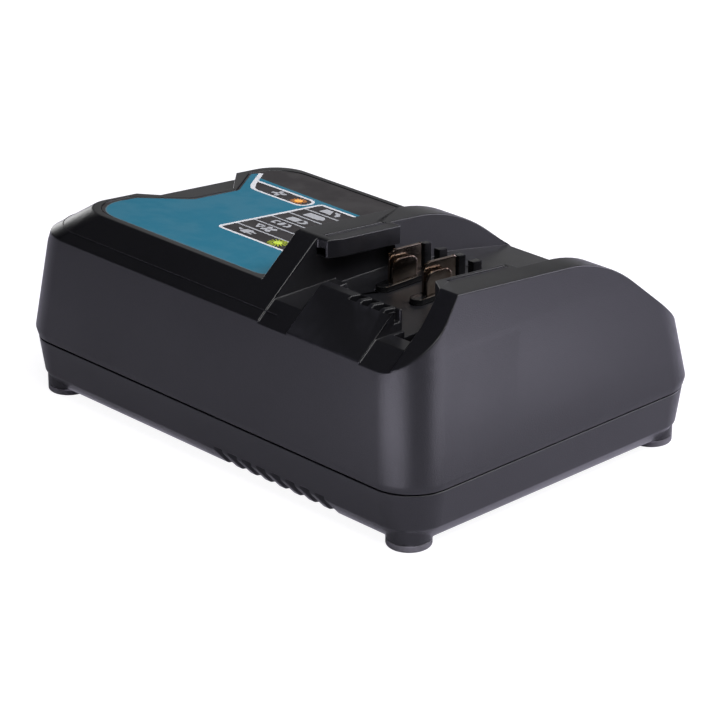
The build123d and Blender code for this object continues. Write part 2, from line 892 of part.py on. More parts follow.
with BuildPart() as label_overlay:
    with BuildSketch(tilted_plane(label_z - label_recess)):
        add(label_outline(label_gap))
    extrude(amount=label_thickness)
    with BuildSketch(Plane.XY.offset(indicator_top_z)):
        with Locations(*light_places):
            Circle(light_radius + light_slack)
    extrude(amount=above, mode=Mode.SUBTRACT)
label_overlay.part.label = "label_overlay"

with BuildPart() as charge_light_pipe:
    add(charge_column)
charge_light_pipe.part.label = "charge_light_pipe"

with BuildPart() as alarm_light_pipe:
    add(alarm_column)
alarm_light_pipe.part.label = "alarm_light_pipe"


def rubber_foot(name, place):
    """Return one rubber foot with its plug at place."""
    with BuildPart() as foot:
        with BuildSketch(Plane.XY):
            with Locations(place):
                Circle(foot_radius)
        extrude(amount=foot_height)
        fillet(foot.edges().group_by(Axis.Z)[0], foot_round)
        with BuildSketch(Plane.XY.offset(foot_height)):
            with Locations(place):
                Circle(foot_plug_radius)
        extrude(amount=foot_plug_height - light_slack)
    foot.part.label = name
    return foot.part


feet = [rubber_foot(name, place) for name, place in zip(foot_names, foot_places)]

with BuildPart() as cord_gland:
    gland_outer_x = -half_length + gland_gap
    with BuildSketch(Plane.YZ.offset(gland_outer_x)):
        with Locations((gland_y, gland_z)):
            Circle(gland_flange_radius)
    extrude(amount=gland_recess_depth - gland_gap)
    with BuildSketch(Plane.YZ.offset(gland_outer_x)):
        with Locations((gland_y, gland_z)):
            Circle(gland_neck_radius)
    extrude(amount=gland_length)
    gland_inner_x = -half_length + gland_recess_depth + wall + gland_seat
    with BuildSketch(Plane.YZ.offset(gland_inner_x)):
        with Locations((gland_y, gland_z)):
            Circle(gland_flange_radius)
    extrude(amount=gland_outer_x + gland_length - gland_inner_x)
    with BuildSketch(Plane.YZ.offset(gland_outer_x)):
        with Locations((gland_y, gland_z)):
            Circle(gland_bore_radius)
    extrude(amount=gland_length, mode=Mode.SUBTRACT)
cord_gland.part.label = "cord_gland"


def screw_group(name, places, seat_z, head_radius, head_height, radius, length, up=True):
    """Return round-headed screws whose heads sit on seat_z, pointing up or down."""
    sense = 1 if up else -1
    with BuildPart() as screws:
        with BuildSketch(Plane.XY.offset(seat_z)):
            with Locations(*places):
                Circle(head_radius)
        extrude(amount=-sense * head_height)
        with BuildSketch(Plane.XY.offset(seat_z - sense * head_height)):
            with Locations(*places):
                RegularPolygon(head_radius / 2, 6)
        extrude(amount=sense * head_height / 2, mode=Mode.SUBTRACT)
        with BuildSketch(Plane.XY.offset(seat_z)):
            with Locations(*places):
                Circle(radius)
        extrude(amount=sense * length)
    screws.part.label = name
    return screws.part


case_screws = screw_group(
    "case_screws",
    case_screw_places,
    case_screw_head_z,
    case_screw_head_radius,
    case_screw_head_height,
    case_screw_radius,
    case_screw_tip_z - case_screw_head_z,
)

# ---------------------------------------------------------------- main board
with BuildPart() as main_board:
    with BuildSketch(Plane.XY.offset(board_z)):
        with Locations(((board_x0 + board_x1) / 2, 0)):
            Rectangle(board_x1 - board_x0, 2 * board_half_width)
        with Locations(*board_screw_places):
            Circle(board_screw_radius + screw_slack, mode=Mode.SUBTRACT)
    extrude(amount=board_thickness)
main_board.part.label = "main_board"

board_screws = screw_group(
    "board_screws",
    board_screw_places,
    board_top_z,
    2 * board_screw_radius,
    board_screw_radius,
    board_screw_radius,
    board_screw_length,
    up=False,
)

with BuildPart() as insulating_sheet:
    with BuildSketch(Plane.XY.offset(floor_top_z)):
        with Locations((sheet_x, 0)):
            RectangleRounded(sheet_length, sheet_width, sheet_corner)
    extrude(amount=sheet_thickness)
insulating_sheet.part.label = "insulating_sheet"

with BuildPart() as transformer_core:
    # three legs between two yokes, lying along X
    with BuildSketch(Plane.XZ.offset(-transformer_y)):
        with Locations((transformer_x, board_top_z + core_height / 2)):
            Rectangle(core_length, core_height)
            with Locations((-window_offset, 0), (window_offset, 0)):
                Rectangle(window_width, core_height - 2 * yoke_height, mode=Mode.SUBTRACT)
    extrude(amount=core_depth / 2, both=True)
transformer_core.part.label = "transformer_core"

with BuildPart() as transformer_winding:
    with BuildSketch(Plane.XY.offset(board_top_z + yoke_height)):
        with Locations((transformer_x, transformer_y)):
            RectangleRounded(winding_length, winding_depth, winding_corner)
            Rectangle(
                2 * (window_offset - window_width / 2 + winding_gap),
                core_depth + 2 * winding_gap,
                mode=Mode.SUBTRACT,
            )
    extrude(amount=core_height - 2 * yoke_height - winding_gap)
transformer_winding.part.label = "transformer_winding"

with BuildPart() as bulk_capacitor:
    with BuildSketch(Plane.XY.offset(board_top_z)):
        with Locations(bulk_capacitor_place):
            Circle(bulk_capacitor_radius)
    extrude(amount=bulk_capacitor_height)
    fillet(bulk_capacitor.edges().group_by(Axis.Z)[-1], bulk_capacitor_round)
bulk_capacitor.part.label = "bulk_capacitor"

with BuildPart() as output_capacitors:
    with BuildSketch(Plane.XY.offset(board_top_z)):
        with Locations(*output_capacitor_places):
            Circle(output_capacitor_radius)
    extrude(amount=output_capacitor_height)
    fillet(output_capacitors.edges().group_by(Axis.Z)[-1], output_capacitor_round)
output_capacitors.part.label = "output_capacitors"

with BuildPart() as line_choke:
    with Locations((line_choke_place[0], line_choke_place[1], board_top_z + choke_base)):
        Torus(choke_major, choke_minor)
    split(bisect_by=Plane.XY.offset(board_top_z + choke_base), keep=Keep.TOP)
    with BuildSketch(Plane.XY.offset(board_top_z)):
        with Locations(line_choke_place):
            Circle(choke_major + choke_minor)
            Circle(choke_major - choke_minor, mode=Mode.SUBTRACT)
    extrude(amount=choke_base)
line_choke.part.label = "line_choke"


def board_block(name, place, length, width, height):
    """Return a moulded block that stands on the main board at place."""
    with BuildPart() as block:
        with BuildSketch(Plane.XY.offset(board_top_z)):
            with Locations(place):
                Rectangle(length, width)
        extrude(amount=height)
        chamfer(block.edges().group_by(Axis.Z)[-1], block_chamfer)
    block.part.label = name
    return block.part


line_capacitor = board_block("line_capacitor", *line_capacitor_block)
bridge_rectifier = board_block("bridge_rectifier", *bridge_rectifier_block)
switching_transistor = board_block("switching_transistor", *switching_transistor_block)
output_rectifier = board_block("output_rectifier", *output_rectifier_block)
mains_connector = board_block("mains_connector", *mains_connector_block)

with BuildPart() as fuse:
    with BuildSketch(Plane.YZ.offset(fuse_x0)):
        with Locations((fuse_y, board_top_z + fuse_cap_radius)):
            Circle(fuse_cap_radius)
    extrude(amount=fuse_cap_length)
    with BuildSketch(Plane.YZ.offset(fuse_x0)):
        with Locations((fuse_y, board_top_z + fuse_cap_radius)):
            Circle(fuse_glass_radius)
    extrude(amount=fuse_length)
    with BuildSketch(Plane.YZ.offset(fuse_x0 + fuse_length)):
        with Locations((fuse_y, board_top_z + fuse_cap_radius)):
            Circle(fuse_cap_radius)
    extrude(amount=-fuse_cap_length)
fuse.part.label = "fuse"

with BuildPart() as primary_heat_sink:
    with BuildSketch(Plane.XY.offset(board_top_z)):
        with Locations((primary_sink_x, primary_sink_y)):
            Rectangle(sink_length, sink_plate)
            with Locations((0, -(sink_plate + sink_fin_depth) / 2)):
                with GridLocations(sink_fin_pitch, 0, sink_fin_count, 1):
                    Rectangle(sink_plate, sink_fin_depth)
    extrude(amount=sink_height)
primary_heat_sink.part.label = "primary_heat_sink"

with BuildPart() as secondary_heat_sink:
    with BuildSketch(Plane.XY.offset(board_top_z)):
        with Locations((secondary_sink_x, secondary_sink_y)):
            Rectangle(sink_plate, sink_length)
            with Locations(((sink_plate + sink_fin_depth) / 2, 0)):
                with GridLocations(0, sink_fin_pitch, 1, sink_fin_count):
                    Rectangle(sink_fin_depth, sink_plate)
    extrude(amount=sink_height)
secondary_heat_sink.part.label = "secondary_heat_sink"

# ---------------------------------------------------------------- indicator board
with BuildPart() as indicator_board:
    with BuildSketch(Plane.XY.offset(indicator_z)):
        with Locations(((indicator_x0 + indicator_x1) / 2, (indicator_y0 + indicator_y1) / 2)):
            Rectangle(indicator_x1 - indicator_x0, indicator_y1 - indicator_y0)
        with Locations(*indicator_screw_places):
            Circle(board_screw_radius + screw_slack, mode=Mode.SUBTRACT)
    extrude(amount=indicator_thickness)
indicator_board.part.label = "indicator_board"

indicator_screws = screw_group(
    "indicator_screws",
    indicator_screw_places,
    indicator_z,
    2 * board_screw_radius,
    board_screw_radius,
    board_screw_radius,
    board_screw_length,
)


def led(name, place):
    """Return a round lamp with a collar and a domed top, standing on the indicator board."""
    with BuildPart() as lamp:
        with BuildSketch(Plane.XY.offset(indicator_top_z)):
            with Locations(place):
                Circle(led_radius + led_collar)
        extrude(amount=led_collar_height)
        with BuildSketch(Plane.XY.offset(indicator_top_z)):
            with Locations(place):
                Circle(led_radius)
        extrude(amount=led_height)
        fillet(lamp.edges().group_by(Axis.Z)[-1], led_dome * led_radius)
    lamp.part.label = name
    return lamp.part


charge_led = led("charge_led", light_places[0])
alarm_led = led("alarm_led", light_places[1])

# ---------------------------------------------------------------- battery terminals
with BuildPart() as terminal_board:
    with BuildSketch(Plane.XY.offset(terminal_board_z)):
        with Locations(((terminal_x0 + terminal_x1) / 2, (terminal_y0 + terminal_y1) / 2)):
            Rectangle(terminal_x1 - terminal_x0, terminal_y1 - terminal_y0)
        with Locations(*terminal_screw_places):
            Circle(board_screw_radius + screw_slack, mode=Mode.SUBTRACT)
        for x in blade_x:
            with Locations((x, (blade_near_y + blade_far_y) / 2)):
                Rectangle(
                    blade_thickness + 2 * screw_slack,
                    tail_width + 2 * screw_slack,
                    mode=Mode.SUBTRACT,
                )
    extrude(amount=board_thickness)
terminal_board.part.label = "terminal_board"

terminal_screws = screw_group(
    "terminal_screws",
    terminal_screw_places,
    terminal_board_z,
    2 * board_screw_radius,
    board_screw_radius,
    board_screw_radius,
    floor_z - wall + terminal_screw_bite - terminal_board_z - screw_slack,
)

with BuildPart() as terminal_block:
    block_under = floor_z - wall - screw_slack
    block_length = terminal_x1 - terminal_x0 - 2 * block_inset
    block_width = terminal_y1 - terminal_y0 - 2 * block_inset
    block_x = (terminal_x0 + terminal_x1) / 2
    block_y = (terminal_y0 + terminal_y1) / 2
    with BuildSketch(Plane.XY.offset(terminal_board_z + board_thickness)):
        with Locations((block_x, block_y)):
            Rectangle(block_length, block_width)
            Rectangle(
                block_length - 2 * block_wall, block_width - 2 * block_wall, mode=Mode.SUBTRACT
            )
        with Locations(*terminal_screw_places):
            Circle(case_screw_head_radius)
    extrude(amount=block_under - terminal_board_z - board_thickness)
    with BuildSketch(Plane.XY.offset(block_under)):
        with Locations((block_x, block_y)):
            Rectangle(block_length, block_width)
    extrude(amount=-block_plate)
    for x in blade_x:
        # the plinth, the post behind the blade and the lower post behind that
        with BuildSketch(Plane.XY.offset(block_under)):
            with Locations((x + leaf_offset / 2, (plinth_near_y + plinth_far_y) / 2)):
                SlotOverall(plinth_far_y - plinth_near_y, 2 * plinth_half_width, rotation=90)
        extrude(amount=plinth_top_z - block_under)
        with BuildSketch(Plane.YZ.offset(x - post_width / 2)):
            with BuildLine():
                Polyline(
                    (post_near_y, block_under),
                    (post_near_y, post_top_z),
                    (post_far_y, post_top_z - post_fall),
                    (post_far_y, plinth_top_z),
                    (nub_near_y, plinth_top_z),
                    (nub_near_y, nub_top_z),
                    (nub_far_y, nub_top_z - post_fall),
                    (nub_far_y, block_under),
                    close=True,
                )
            make_face()
        extrude(amount=post_width)
    # the slots for the blades and their leaves, and the screw holes
    with BuildSketch(Plane.XY.offset(terminal_board_z)):
        for x in blade_x:
            with Locations((x, (blade_near_y + blade_far_y) / 2)):
                Rectangle(
                    blade_thickness + 2 * blade_slack, blade_far_y - blade_near_y + 2 * blade_slack
                )
            with Locations((x + leaf_offset, (leaf_near_y + leaf_far_y) / 2)):
                Rectangle(
                    leaf_thickness + 2 * blade_slack, leaf_far_y - leaf_near_y + 2 * blade_slack
                )
        with Locations(*terminal_screw_places):
            Circle(board_screw_radius + screw_slack)
    extrude(amount=above, mode=Mode.SUBTRACT)
terminal_block.part.label = "terminal_block"


def terminal(name, x):
    """Return one power terminal: a tall blade, a shorter leaf and the foot that joins them."""
    foot_z = terminal_board_z + board_thickness
    with BuildPart() as blade:
        with BuildSketch(Plane.YZ.offset(x - blade_thickness / 2)):
            with BuildLine():
                FilletPolyline(
                    (blade_near_y, foot_z),
                    (blade_near_y, blade_top_z + blade_top_fall / 2),
                    (blade_far_y, blade_top_z - blade_top_fall / 2),
                    (blade_far_y, foot_z),
                    radius=[0, blade_corner, blade_corner / 4, 0],
                    close=True,
                )
            make_face()
        extrude(amount=blade_thickness)
        with BuildSketch(Plane.YZ.offset(x + leaf_offset - leaf_thickness / 2)):
            with BuildLine():
                FilletPolyline(
                    (leaf_near_y, foot_z),
                    (leaf_near_y, leaf_top_z + blade_top_fall / 2),
                    (leaf_far_y, leaf_top_z - blade_top_fall / 2),
                    (leaf_far_y, foot_z),
                    radius=[0, blade_corner, blade_corner * 0.8, 0],
                    close=True,
                )
            make_face()
        extrude(amount=leaf_thickness)
        # the foot under the block, and the solder tail through the board
        with BuildSketch(Plane.XY.offset(foot_z)):
            with Locations((x + leaf_offset / 2, (blade_near_y + leaf_far_y) / 2)):
                Rectangle(leaf_offset + blade_thickness / 2, leaf_far_y - blade_near_y)
        extrude(amount=blade_thickness)
        with BuildSketch(Plane.XY.offset(terminal_board_z - blade_thickness)):
            with Locations((x, (blade_near_y + blade_far_y) / 2)):
                Rectangle(blade_thickness, tail_width)
        extrude(amount=foot_z - terminal_board_z + blade_thickness)
    blade.part.label = name
    return blade.part


terminal_positive = terminal("terminal_positive", blade_x[0])
terminal_negative = terminal("terminal_negative", blade_x[1])


def output_lead(name, y):
    """Return an insulated lead from the terminal board down to the main board."""
    drop_z = terminal_board_z - lead_drop
    with BuildPart() as lead:
        with BuildLine() as path:
            FilletPolyline(
                (lead_top_x, y, terminal_board_z),
                (lead_top_x, y, drop_z),
                (lead_foot_x, y, drop_z),
                (lead_foot_x, y, board_top_z),
                radius=[lead_bend, lead_bend],
            )
        with BuildSketch(Plane.XY.offset(terminal_board_z)):
            with Locations((lead_top_x, y)):
                Circle(lead_radius)
        sweep(path=path.line)
    lead.part.label = name
    return lead.part


output_lead_positive = output_lead("output_lead_positive", lead_y[0])
output_lead_negative = output_lead("output_lead_negative", lead_y[1])

# ---------------------------------------------------------------- fan and duct
fan_centre = (fan_x, fan_y)

with BuildPart() as fan_frame:
    with BuildSketch(Plane.XY.offset(fan_z)):
        with Locations(fan_centre):
            RectangleRounded(fan_size, fan_size, fan_screw_radius * 2)
            Circle(fan_bore_radius, mode=Mode.SUBTRACT)
    extrude(amount=fan_height)
    # the motor's base plate on four arms, with the bearing tube
    with BuildSketch(Plane.XY.offset(fan_z)):
        with Locations(fan_centre):
            Circle(fan_cup_radius)
            Rectangle(2 * fan_bore_radius + strut_width, strut_width)
            Rectangle(strut_width, 2 * fan_bore_radius + strut_width)
    extrude(amount=strut_height)
    with BuildSketch(Plane.XY.offset(fan_z)):
        with Locations(fan_centre):
            Circle(bearing_radius + hub_wall)
    extrude(amount=strut_height + bearing_length)
    with BuildSketch(Plane.XY.offset(fan_z + strut_height)):
        with Locations(fan_centre):
            Circle(bearing_radius)
    extrude(amount=bearing_length, mode=Mode.SUBTRACT)
    with BuildSketch(Plane.XY.offset(fan_z)):
        with Locations(*fan_screw_places):
            Circle(fan_screw_radius + screw_slack)
    extrude(amount=fan_height, mode=Mode.SUBTRACT)
fan_frame.part.label = "fan_frame"

with BuildPart() as fan_bearing:
    with BuildSketch(Plane.XY.offset(fan_z + strut_height)):
        with Locations(fan_centre):
            Circle(bearing_radius)
            Circle(shaft_radius + shaft_clearance, mode=Mode.SUBTRACT)
    extrude(amount=bearing_length)
fan_bearing.part.label = "fan_bearing"

with BuildPart() as fan_stator:
    with BuildSketch(Plane.XY.offset(fan_z + strut_height)):
        with Locations(fan_centre):
            Circle(stator_radius)
            Circle(bearing_radius + hub_wall, mode=Mode.SUBTRACT)
    extrude(amount=stator_height)
fan_stator.part.label = "fan_stator"

with BuildPart() as fan_disc:
    with BuildSketch(Plane.XY.offset(hub_z + blade_lift)):
        with Locations(fan_centre):
            Circle(fan_tip_radius)
            Circle(hub_radius - hub_wall / 2, mode=Mode.SUBTRACT)
    extrude(amount=fan_blade_height)

with BuildPart() as blade_pattern:
    with Locations((fan_x, fan_y, hub_z + blade_lift + fan_blade_height / 2)):
        with PolarLocations((hub_radius + fan_tip_radius) / 2, fan_blade_count):
            Box(
                fan_tip_radius - hub_radius + 2 * hub_wall,
                fan_blade_thickness,
                2 * fan_blade_height,
                rotation=(fan_blade_pitch, 0, 0),
            )

with BuildPart() as fan_rotor:
    add(fan_disc.part)
    add(blade_pattern.part, mode=Mode.INTERSECT)
    with BuildSketch(Plane.XY.offset(hub_z)):
        with Locations(fan_centre):
            Circle(hub_radius)
    extrude(amount=hub_height)
    with BuildSketch(Plane.XY.offset(hub_z)):
        with Locations(fan_centre):
            Circle(hub_radius - hub_wall)
            Circle(2 * shaft_radius, mode=Mode.SUBTRACT)
    extrude(amount=hub_height - hub_wall, mode=Mode.SUBTRACT)
    with BuildSketch(Plane.XY.offset(hub_z)):
        with Locations(fan_centre):
            Circle(2 * shaft_radius)
    extrude(amount=boss_z - hub_z, mode=Mode.SUBTRACT)
    with BuildSketch(Plane.XY.offset(hub_z)):
        with Locations(fan_centre):
            Circle(shaft_radius)
    extrude(amount=hub_height - hub_wall, mode=Mode.SUBTRACT)
fan_rotor.part.label = "fan_rotor"

with BuildPart() as fan_shaft:
    with BuildSketch(Plane.XY.offset(fan_z + strut_height + screw_slack)):
        with Locations(fan_centre):
            Circle(shaft_radius)
    extrude(amount=hub_z + hub_height - hub_wall - fan_z - strut_height - screw_slack)
fan_shaft.part.label = "fan_shaft"

fan_screws = screw_group(
    "fan_screws",
    fan_screw_places,
    fan_z + fan_height,
    2 * fan_screw_radius,
    fan_screw_radius,
    fan_screw_radius,
    fan_height + fan_screw_bite - screw_slack,
    up=False,
)

with BuildPart() as air_duct:
    # a hood from the fan's mouth up to the inside of the vent block
    for inset, sense in ((0, Mode.ADD), (duct_wall, Mode.SUBTRACT)):
        with BuildSketch(Plane.XY.offset(fan_z + fan_height)):
            with Locations(fan_centre):
                Rectangle(duct_base - 2 * inset, duct_base - 2 * inset)
        with BuildSketch(Plane.XY.offset(duct_top_z)):
            with Locations(duct_top_place):
                Rectangle(duct_top_length - 2 * inset, duct_top_width - 2 * inset)
        loft(ruled=True, mode=sense)
    # corner pockets for the heads of the fan screws
    with BuildSketch(Plane.XY.offset(fan_z + fan_height)):
        with Locations(*fan_screw_places):
            Circle(2 * fan_screw_radius + light_slack)
    extrude(amount=duct_pocket, mode=Mode.SUBTRACT)
air_duct.part.label = "air_duct"

# ---------------------------------------------------------------- output
pieces = [
    upper_case.part,
    lower_case.part,
    label_overlay.part,
    charge_light_pipe.part,
    alarm_light_pipe.part,
    *feet,
    cord_gland.part,
    case_screws,
    main_board.part,
    board_screws,
    insulating_sheet.part,
    transformer_core.part,
    transformer_winding.part,
    bulk_capacitor.part,
    output_capacitors.part,
    line_choke.part,
    line_capacitor,
    bridge_rectifier,
    switching_transistor,
    output_rectifier,
    mains_connector,
    fuse.part,
    primary_heat_sink.part,
    secondary_heat_sink.part,
    indicator_board.part,
    indicator_screws,
    charge_led,
    alarm_led,
    terminal_board.part,
    terminal_screws,
    terminal_block.part,
    terminal_positive,
    terminal_negative,
    output_lead_positive,
    output_lead_negative,
    fan_frame.part,
    fan_bearing.part,
    fan_stator.part,
    fan_rotor.part,
    fan_shaft.part,
    fan_screws,
    air_duct.part,
]

os.makedirs("parts", exist_ok=True)
for piece in pieces:
    export_step(piece, f"parts/{piece.label}.step")
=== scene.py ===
"""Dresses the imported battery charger: casing, label, battery bay, feet and inner parts."""
import json
import logging
from dataclasses import dataclass
from enum import Enum
from math import cos, pi, radians, sin, tan
from typing import Callable, Sequence

import bpy
from mathutils import Matrix, Vector


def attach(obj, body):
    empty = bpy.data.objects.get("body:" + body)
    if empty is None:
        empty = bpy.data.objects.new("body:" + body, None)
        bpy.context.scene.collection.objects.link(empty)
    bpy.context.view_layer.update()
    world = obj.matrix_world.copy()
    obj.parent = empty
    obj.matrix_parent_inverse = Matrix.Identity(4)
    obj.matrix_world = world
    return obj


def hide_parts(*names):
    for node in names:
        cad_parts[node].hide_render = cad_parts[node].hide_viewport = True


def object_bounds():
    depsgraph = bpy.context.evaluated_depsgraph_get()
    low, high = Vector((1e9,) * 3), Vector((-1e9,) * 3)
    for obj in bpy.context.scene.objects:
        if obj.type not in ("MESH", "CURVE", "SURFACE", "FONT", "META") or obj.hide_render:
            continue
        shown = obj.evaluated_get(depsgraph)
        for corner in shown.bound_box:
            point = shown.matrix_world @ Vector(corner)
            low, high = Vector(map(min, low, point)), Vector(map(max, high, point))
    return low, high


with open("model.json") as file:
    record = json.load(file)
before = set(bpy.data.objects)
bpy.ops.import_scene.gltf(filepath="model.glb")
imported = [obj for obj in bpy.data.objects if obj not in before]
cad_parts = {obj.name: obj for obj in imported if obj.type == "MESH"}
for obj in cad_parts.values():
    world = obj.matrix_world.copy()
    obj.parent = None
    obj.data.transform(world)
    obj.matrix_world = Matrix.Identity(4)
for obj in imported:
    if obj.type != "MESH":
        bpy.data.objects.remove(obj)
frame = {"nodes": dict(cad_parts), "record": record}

LOG = logging.getLogger("charger")
CAD_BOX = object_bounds()
MM = 0.001
WELD = 2e-6
BODY = "charger"
PLATEAU_TILT = 4.86

Colour = tuple[float, float, float]
Point = tuple[float, float]
Corner = tuple[float, float, float]
Piece = bpy.types.Object
Material = bpy.types.Material
Socket = bpy.types.NodeSocket
Tree = bpy.types.NodeTree
FaceTest = Callable[[Vector, Vector], bool]

WHITE: Colour = (1.0, 1.0, 1.0)
COOL: Colour = (1.0, 0.965, 1.15)


# ---------------------------------------------------------------- the bench: hand operations
def pick(*pieces: Piece) -> None:
    """Select only the given pieces and make the first one active.

    Args:
        pieces: The pieces to work on.
    """
    if bpy.context.object and bpy.context.object.mode != "OBJECT":
        bpy.ops.object.mode_set(mode="OBJECT")
    bpy.ops.object.select_all(action="DESELECT")
    for piece in pieces:
        piece.select_set(True)
    bpy.context.view_layer.objects.active = pieces[0]


def name_new(name: str) -> Piece:
    """Name the primitive that was just added.

    Args:
        name: The piece's name.

    Returns:
        The active object.
    """
    piece = bpy.context.object
    piece.name = name
    piece.data.name = name
    return piece


def settle(piece: Piece) -> Piece:
    """Put the piece's place, turn and scale into its mesh.

    Args:
        piece: The piece, wherever it stands.

    Returns:
        The same piece with its object at the origin.
    """
    pick(piece)
    bpy.ops.object.transform_apply(location=True, rotation=True, scale=True)
    return piece


def take_node(node: str, name: str) -> Piece:
    """Copy a CAD node's mesh and merge its triangles into clean flat faces.

    Args:
        node: The CAD node's name.
        name: The copy's name.

    Returns:
        The copy, with welded corners and no split normals.
    """
    source = frame["nodes"][node]
    piece = source.copy()
    piece.data = source.data.copy()
    piece.parent = None
    for key in list(piece.keys()):
        del piece[key]
    piece.name = name
    piece.data.name = name
    bpy.context.scene.collection.objects.link(piece)
    pick(piece)
    if piece.data.has_custom_normals:
        bpy.ops.mesh.customdata_custom_splitnormals_clear()
    bpy.ops.object.mode_set(mode="EDIT")
    bpy.ops.mesh.select_all(action="SELECT")
    bpy.ops.mesh.remove_doubles(threshold=WELD)
    bpy.ops.mesh.dissolve_limited(angle_limit=radians(0.5))
    bpy.ops.mesh.quads_convert_to_tris(quad_method="BEAUTY", ngon_method="BEAUTY")
    bpy.ops.mesh.tris_convert_to_quads(face_threshold=radians(1.0), shape_threshold=radians(60.0))
    bpy.ops.object.mode_set(mode="OBJECT")
    return piece


def apply_modifier(piece: Piece, kind: str, **settings: object) -> Piece:
    """Add a modifier, set it and apply it.

    Args:
        piece: The piece to change.
        kind: The modifier's type.
        settings: Its values by name.

    Returns:
        The same piece.
    """
    pick(piece)
    modifier = piece.modifiers.new(kind.lower(), kind)
    for key, value in settings.items():
        setattr(modifier, key, value)
    bpy.ops.object.modifier_apply(modifier=modifier.name)
    return piece


def round_edges(piece: Piece, width: float, segments: int = 2, angle: float = 25.0) -> Piece:
    """Round every edge that is sharper than an angle.

    Args:
        piece: The piece to round.
        width: The bevel's width in metres.
        segments: The facets across it.
        angle: The sharpest edge in degrees that stays as it is.

    Returns:
        The same piece, smooth shaded.
    """
    apply_modifier(
        piece,
        "BEVEL",
        width=width,
        segments=segments,
        limit_method="ANGLE",
        angle_limit=radians(angle),
        use_clamp_overlap=False,
    )
    smooth(piece)
    return apply_modifier(piece, "WEIGHTED_NORMAL", mode="FACE_AREA", weight=60, keep_sharp=True)


def smooth(piece: Piece, angle: float = 32.0) -> Piece:
    """Shade the piece smooth across every edge flatter than an angle.

    Args:
        piece: The piece to shade.
        angle: The largest smooth edge in degrees.

    Returns:
        The same piece.
    """
    pick(piece)
    bpy.ops.object.shade_smooth_by_angle(angle=radians(angle))
    return piece


def mark_faces(piece: Piece, test: FaceTest) -> None:
    """Select the faces whose centre and normal pass a test, and go into edit mode.

    Args:
        piece: The piece to select on.
        test: Given a face's centre and normal, says whether it is wanted.
    """
    pick(piece)
    bpy.ops.object.mode_set(mode="EDIT")
    bpy.ops.mesh.select_mode(type="FACE")
    bpy.ops.mesh.select_all(action="DESELECT")
    bpy.ops.object.mode_set(mode="OBJECT")
    for face in piece.data.polygons:
        face.select = test(face.center, face.normal)
    bpy.ops.object.mode_set(mode="EDIT")


def join(name: str, pieces: Sequence[Piece]) -> Piece:
    """Join settled pieces into one.

    Args:
        name: The joined piece's name.
        pieces: The pieces, one or more.

    Returns:
        The joined piece.
    """
    pick(*pieces)
    if len(pieces) > 1:
        bpy.ops.object.join()
    return name_new(name)


def dress(piece: Piece, material: Material) -> Piece:
    """Give a piece its material, and let it ride on the charger's body.

    Args:
        piece: The finished piece.
        material: Its material.

    Returns:
        The same piece.
    """
    piece.data.materials.clear()
    piece.data.materials.append(material)
    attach(piece, BODY)
    LOG.info("piece %s: %d faces on %s", piece.name, len(piece.data.polygons), BODY)
    return piece


# ---------------------------------------------------------------- shader groups
class GroupMaker:
    """Builds one shader node group with named inputs and outputs."""

    def __init__(self, name: str) -> None:
        """Start an empty group called name."""
        self.tree = bpy.data.node_groups.new(name, "ShaderNodeTree")
        self.entry = self.tree.nodes.new("NodeGroupInput")
        self.exit = self.tree.nodes.new("NodeGroupOutput")

    def value_in(self, name: str, default: float) -> Socket:
        """Add a number input and return the socket that carries it inside the group."""
        socket = self.tree.interface.new_socket(name, in_out="INPUT", socket_type="NodeSocketFloat")
        socket.default_value = default
        return self.entry.outputs[name]

    def put_out(self, name: str, source: Socket) -> None:
        """Add a number output and feed it from source."""
        self.tree.interface.new_socket(name, in_out="OUTPUT", socket_type="NodeSocketFloat")
        self.tree.links.new(source, self.exit.inputs[name])

    def node(self, kind: str, **settings: object) -> bpy.types.Node:
        """Add a node and set its properties."""
        node = self.tree.nodes.new(kind)
        for key, value in settings.items():
            setattr(node, key, value)
        return node

    def wire(self, source: object, target: Socket) -> None:
        """Link a socket to target, or set target to a plain number."""
        if isinstance(source, (int, float)):
            target.default_value = source
        else:
            self.tree.links.new(source, target)

    def math(self, operation: str, first: object, second: object = 0.0) -> Socket:
        """Add a Math node fed by sockets or numbers and return its output."""
        node = self.node("ShaderNodeMath", operation=operation)
        self.wire(first, node.inputs[0])
        self.wire(second, node.inputs[1])
        return node.outputs[0]

    def ramp(self, value: object, low: float, high: float) -> Socket:
        """Map value from low..high to a smooth 0..1 and return the result."""
        node = self.node("ShaderNodeMapRange", interpolation_type="SMOOTHSTEP")
        self.wire(value, node.inputs["Value"])
        node.inputs["From Min"].default_value = low
        node.inputs["From Max"].default_value = high
        return node.outputs["Result"]


def spark_group() -> Tree:
    """Build the fine pitted texture that spark erosion leaves on a mould.

    Returns:
        A group with Pitch in metres, giving Height and Tone.
    """
    maker = GroupMaker("spark_texture")
    pitch = maker.value_in("Pitch", 0.00035)
    place = maker.node("ShaderNodeTexCoord").outputs["Object"]
    scale = maker.math("DIVIDE", 1.0, pitch)
    fine = maker.node("ShaderNodeTexNoise")
    maker.wire(place, fine.inputs["Vector"])
    maker.wire(scale, fine.inputs["Scale"])
    fine.inputs["Detail"].default_value = 3.0
    fine.inputs["Roughness"].default_value = 0.6
    pits = maker.node("ShaderNodeTexVoronoi")
    maker.wire(place, pits.inputs["Vector"])
    maker.wire(maker.math("MULTIPLY", scale, 0.8), pits.inputs["Scale"])
    cells = maker.ramp(pits.outputs["Distance"], 0.0, 0.7)
    grain = maker.math("MULTIPLY", fine.outputs[0], 0.6)
    height = maker.math("ADD", grain, maker.math("MULTIPLY", cells, 0.4))
    maker.put_out("Height", height)
    maker.put_out("Tone", maker.ramp(height, 0.3, 0.7))
    return maker.tree


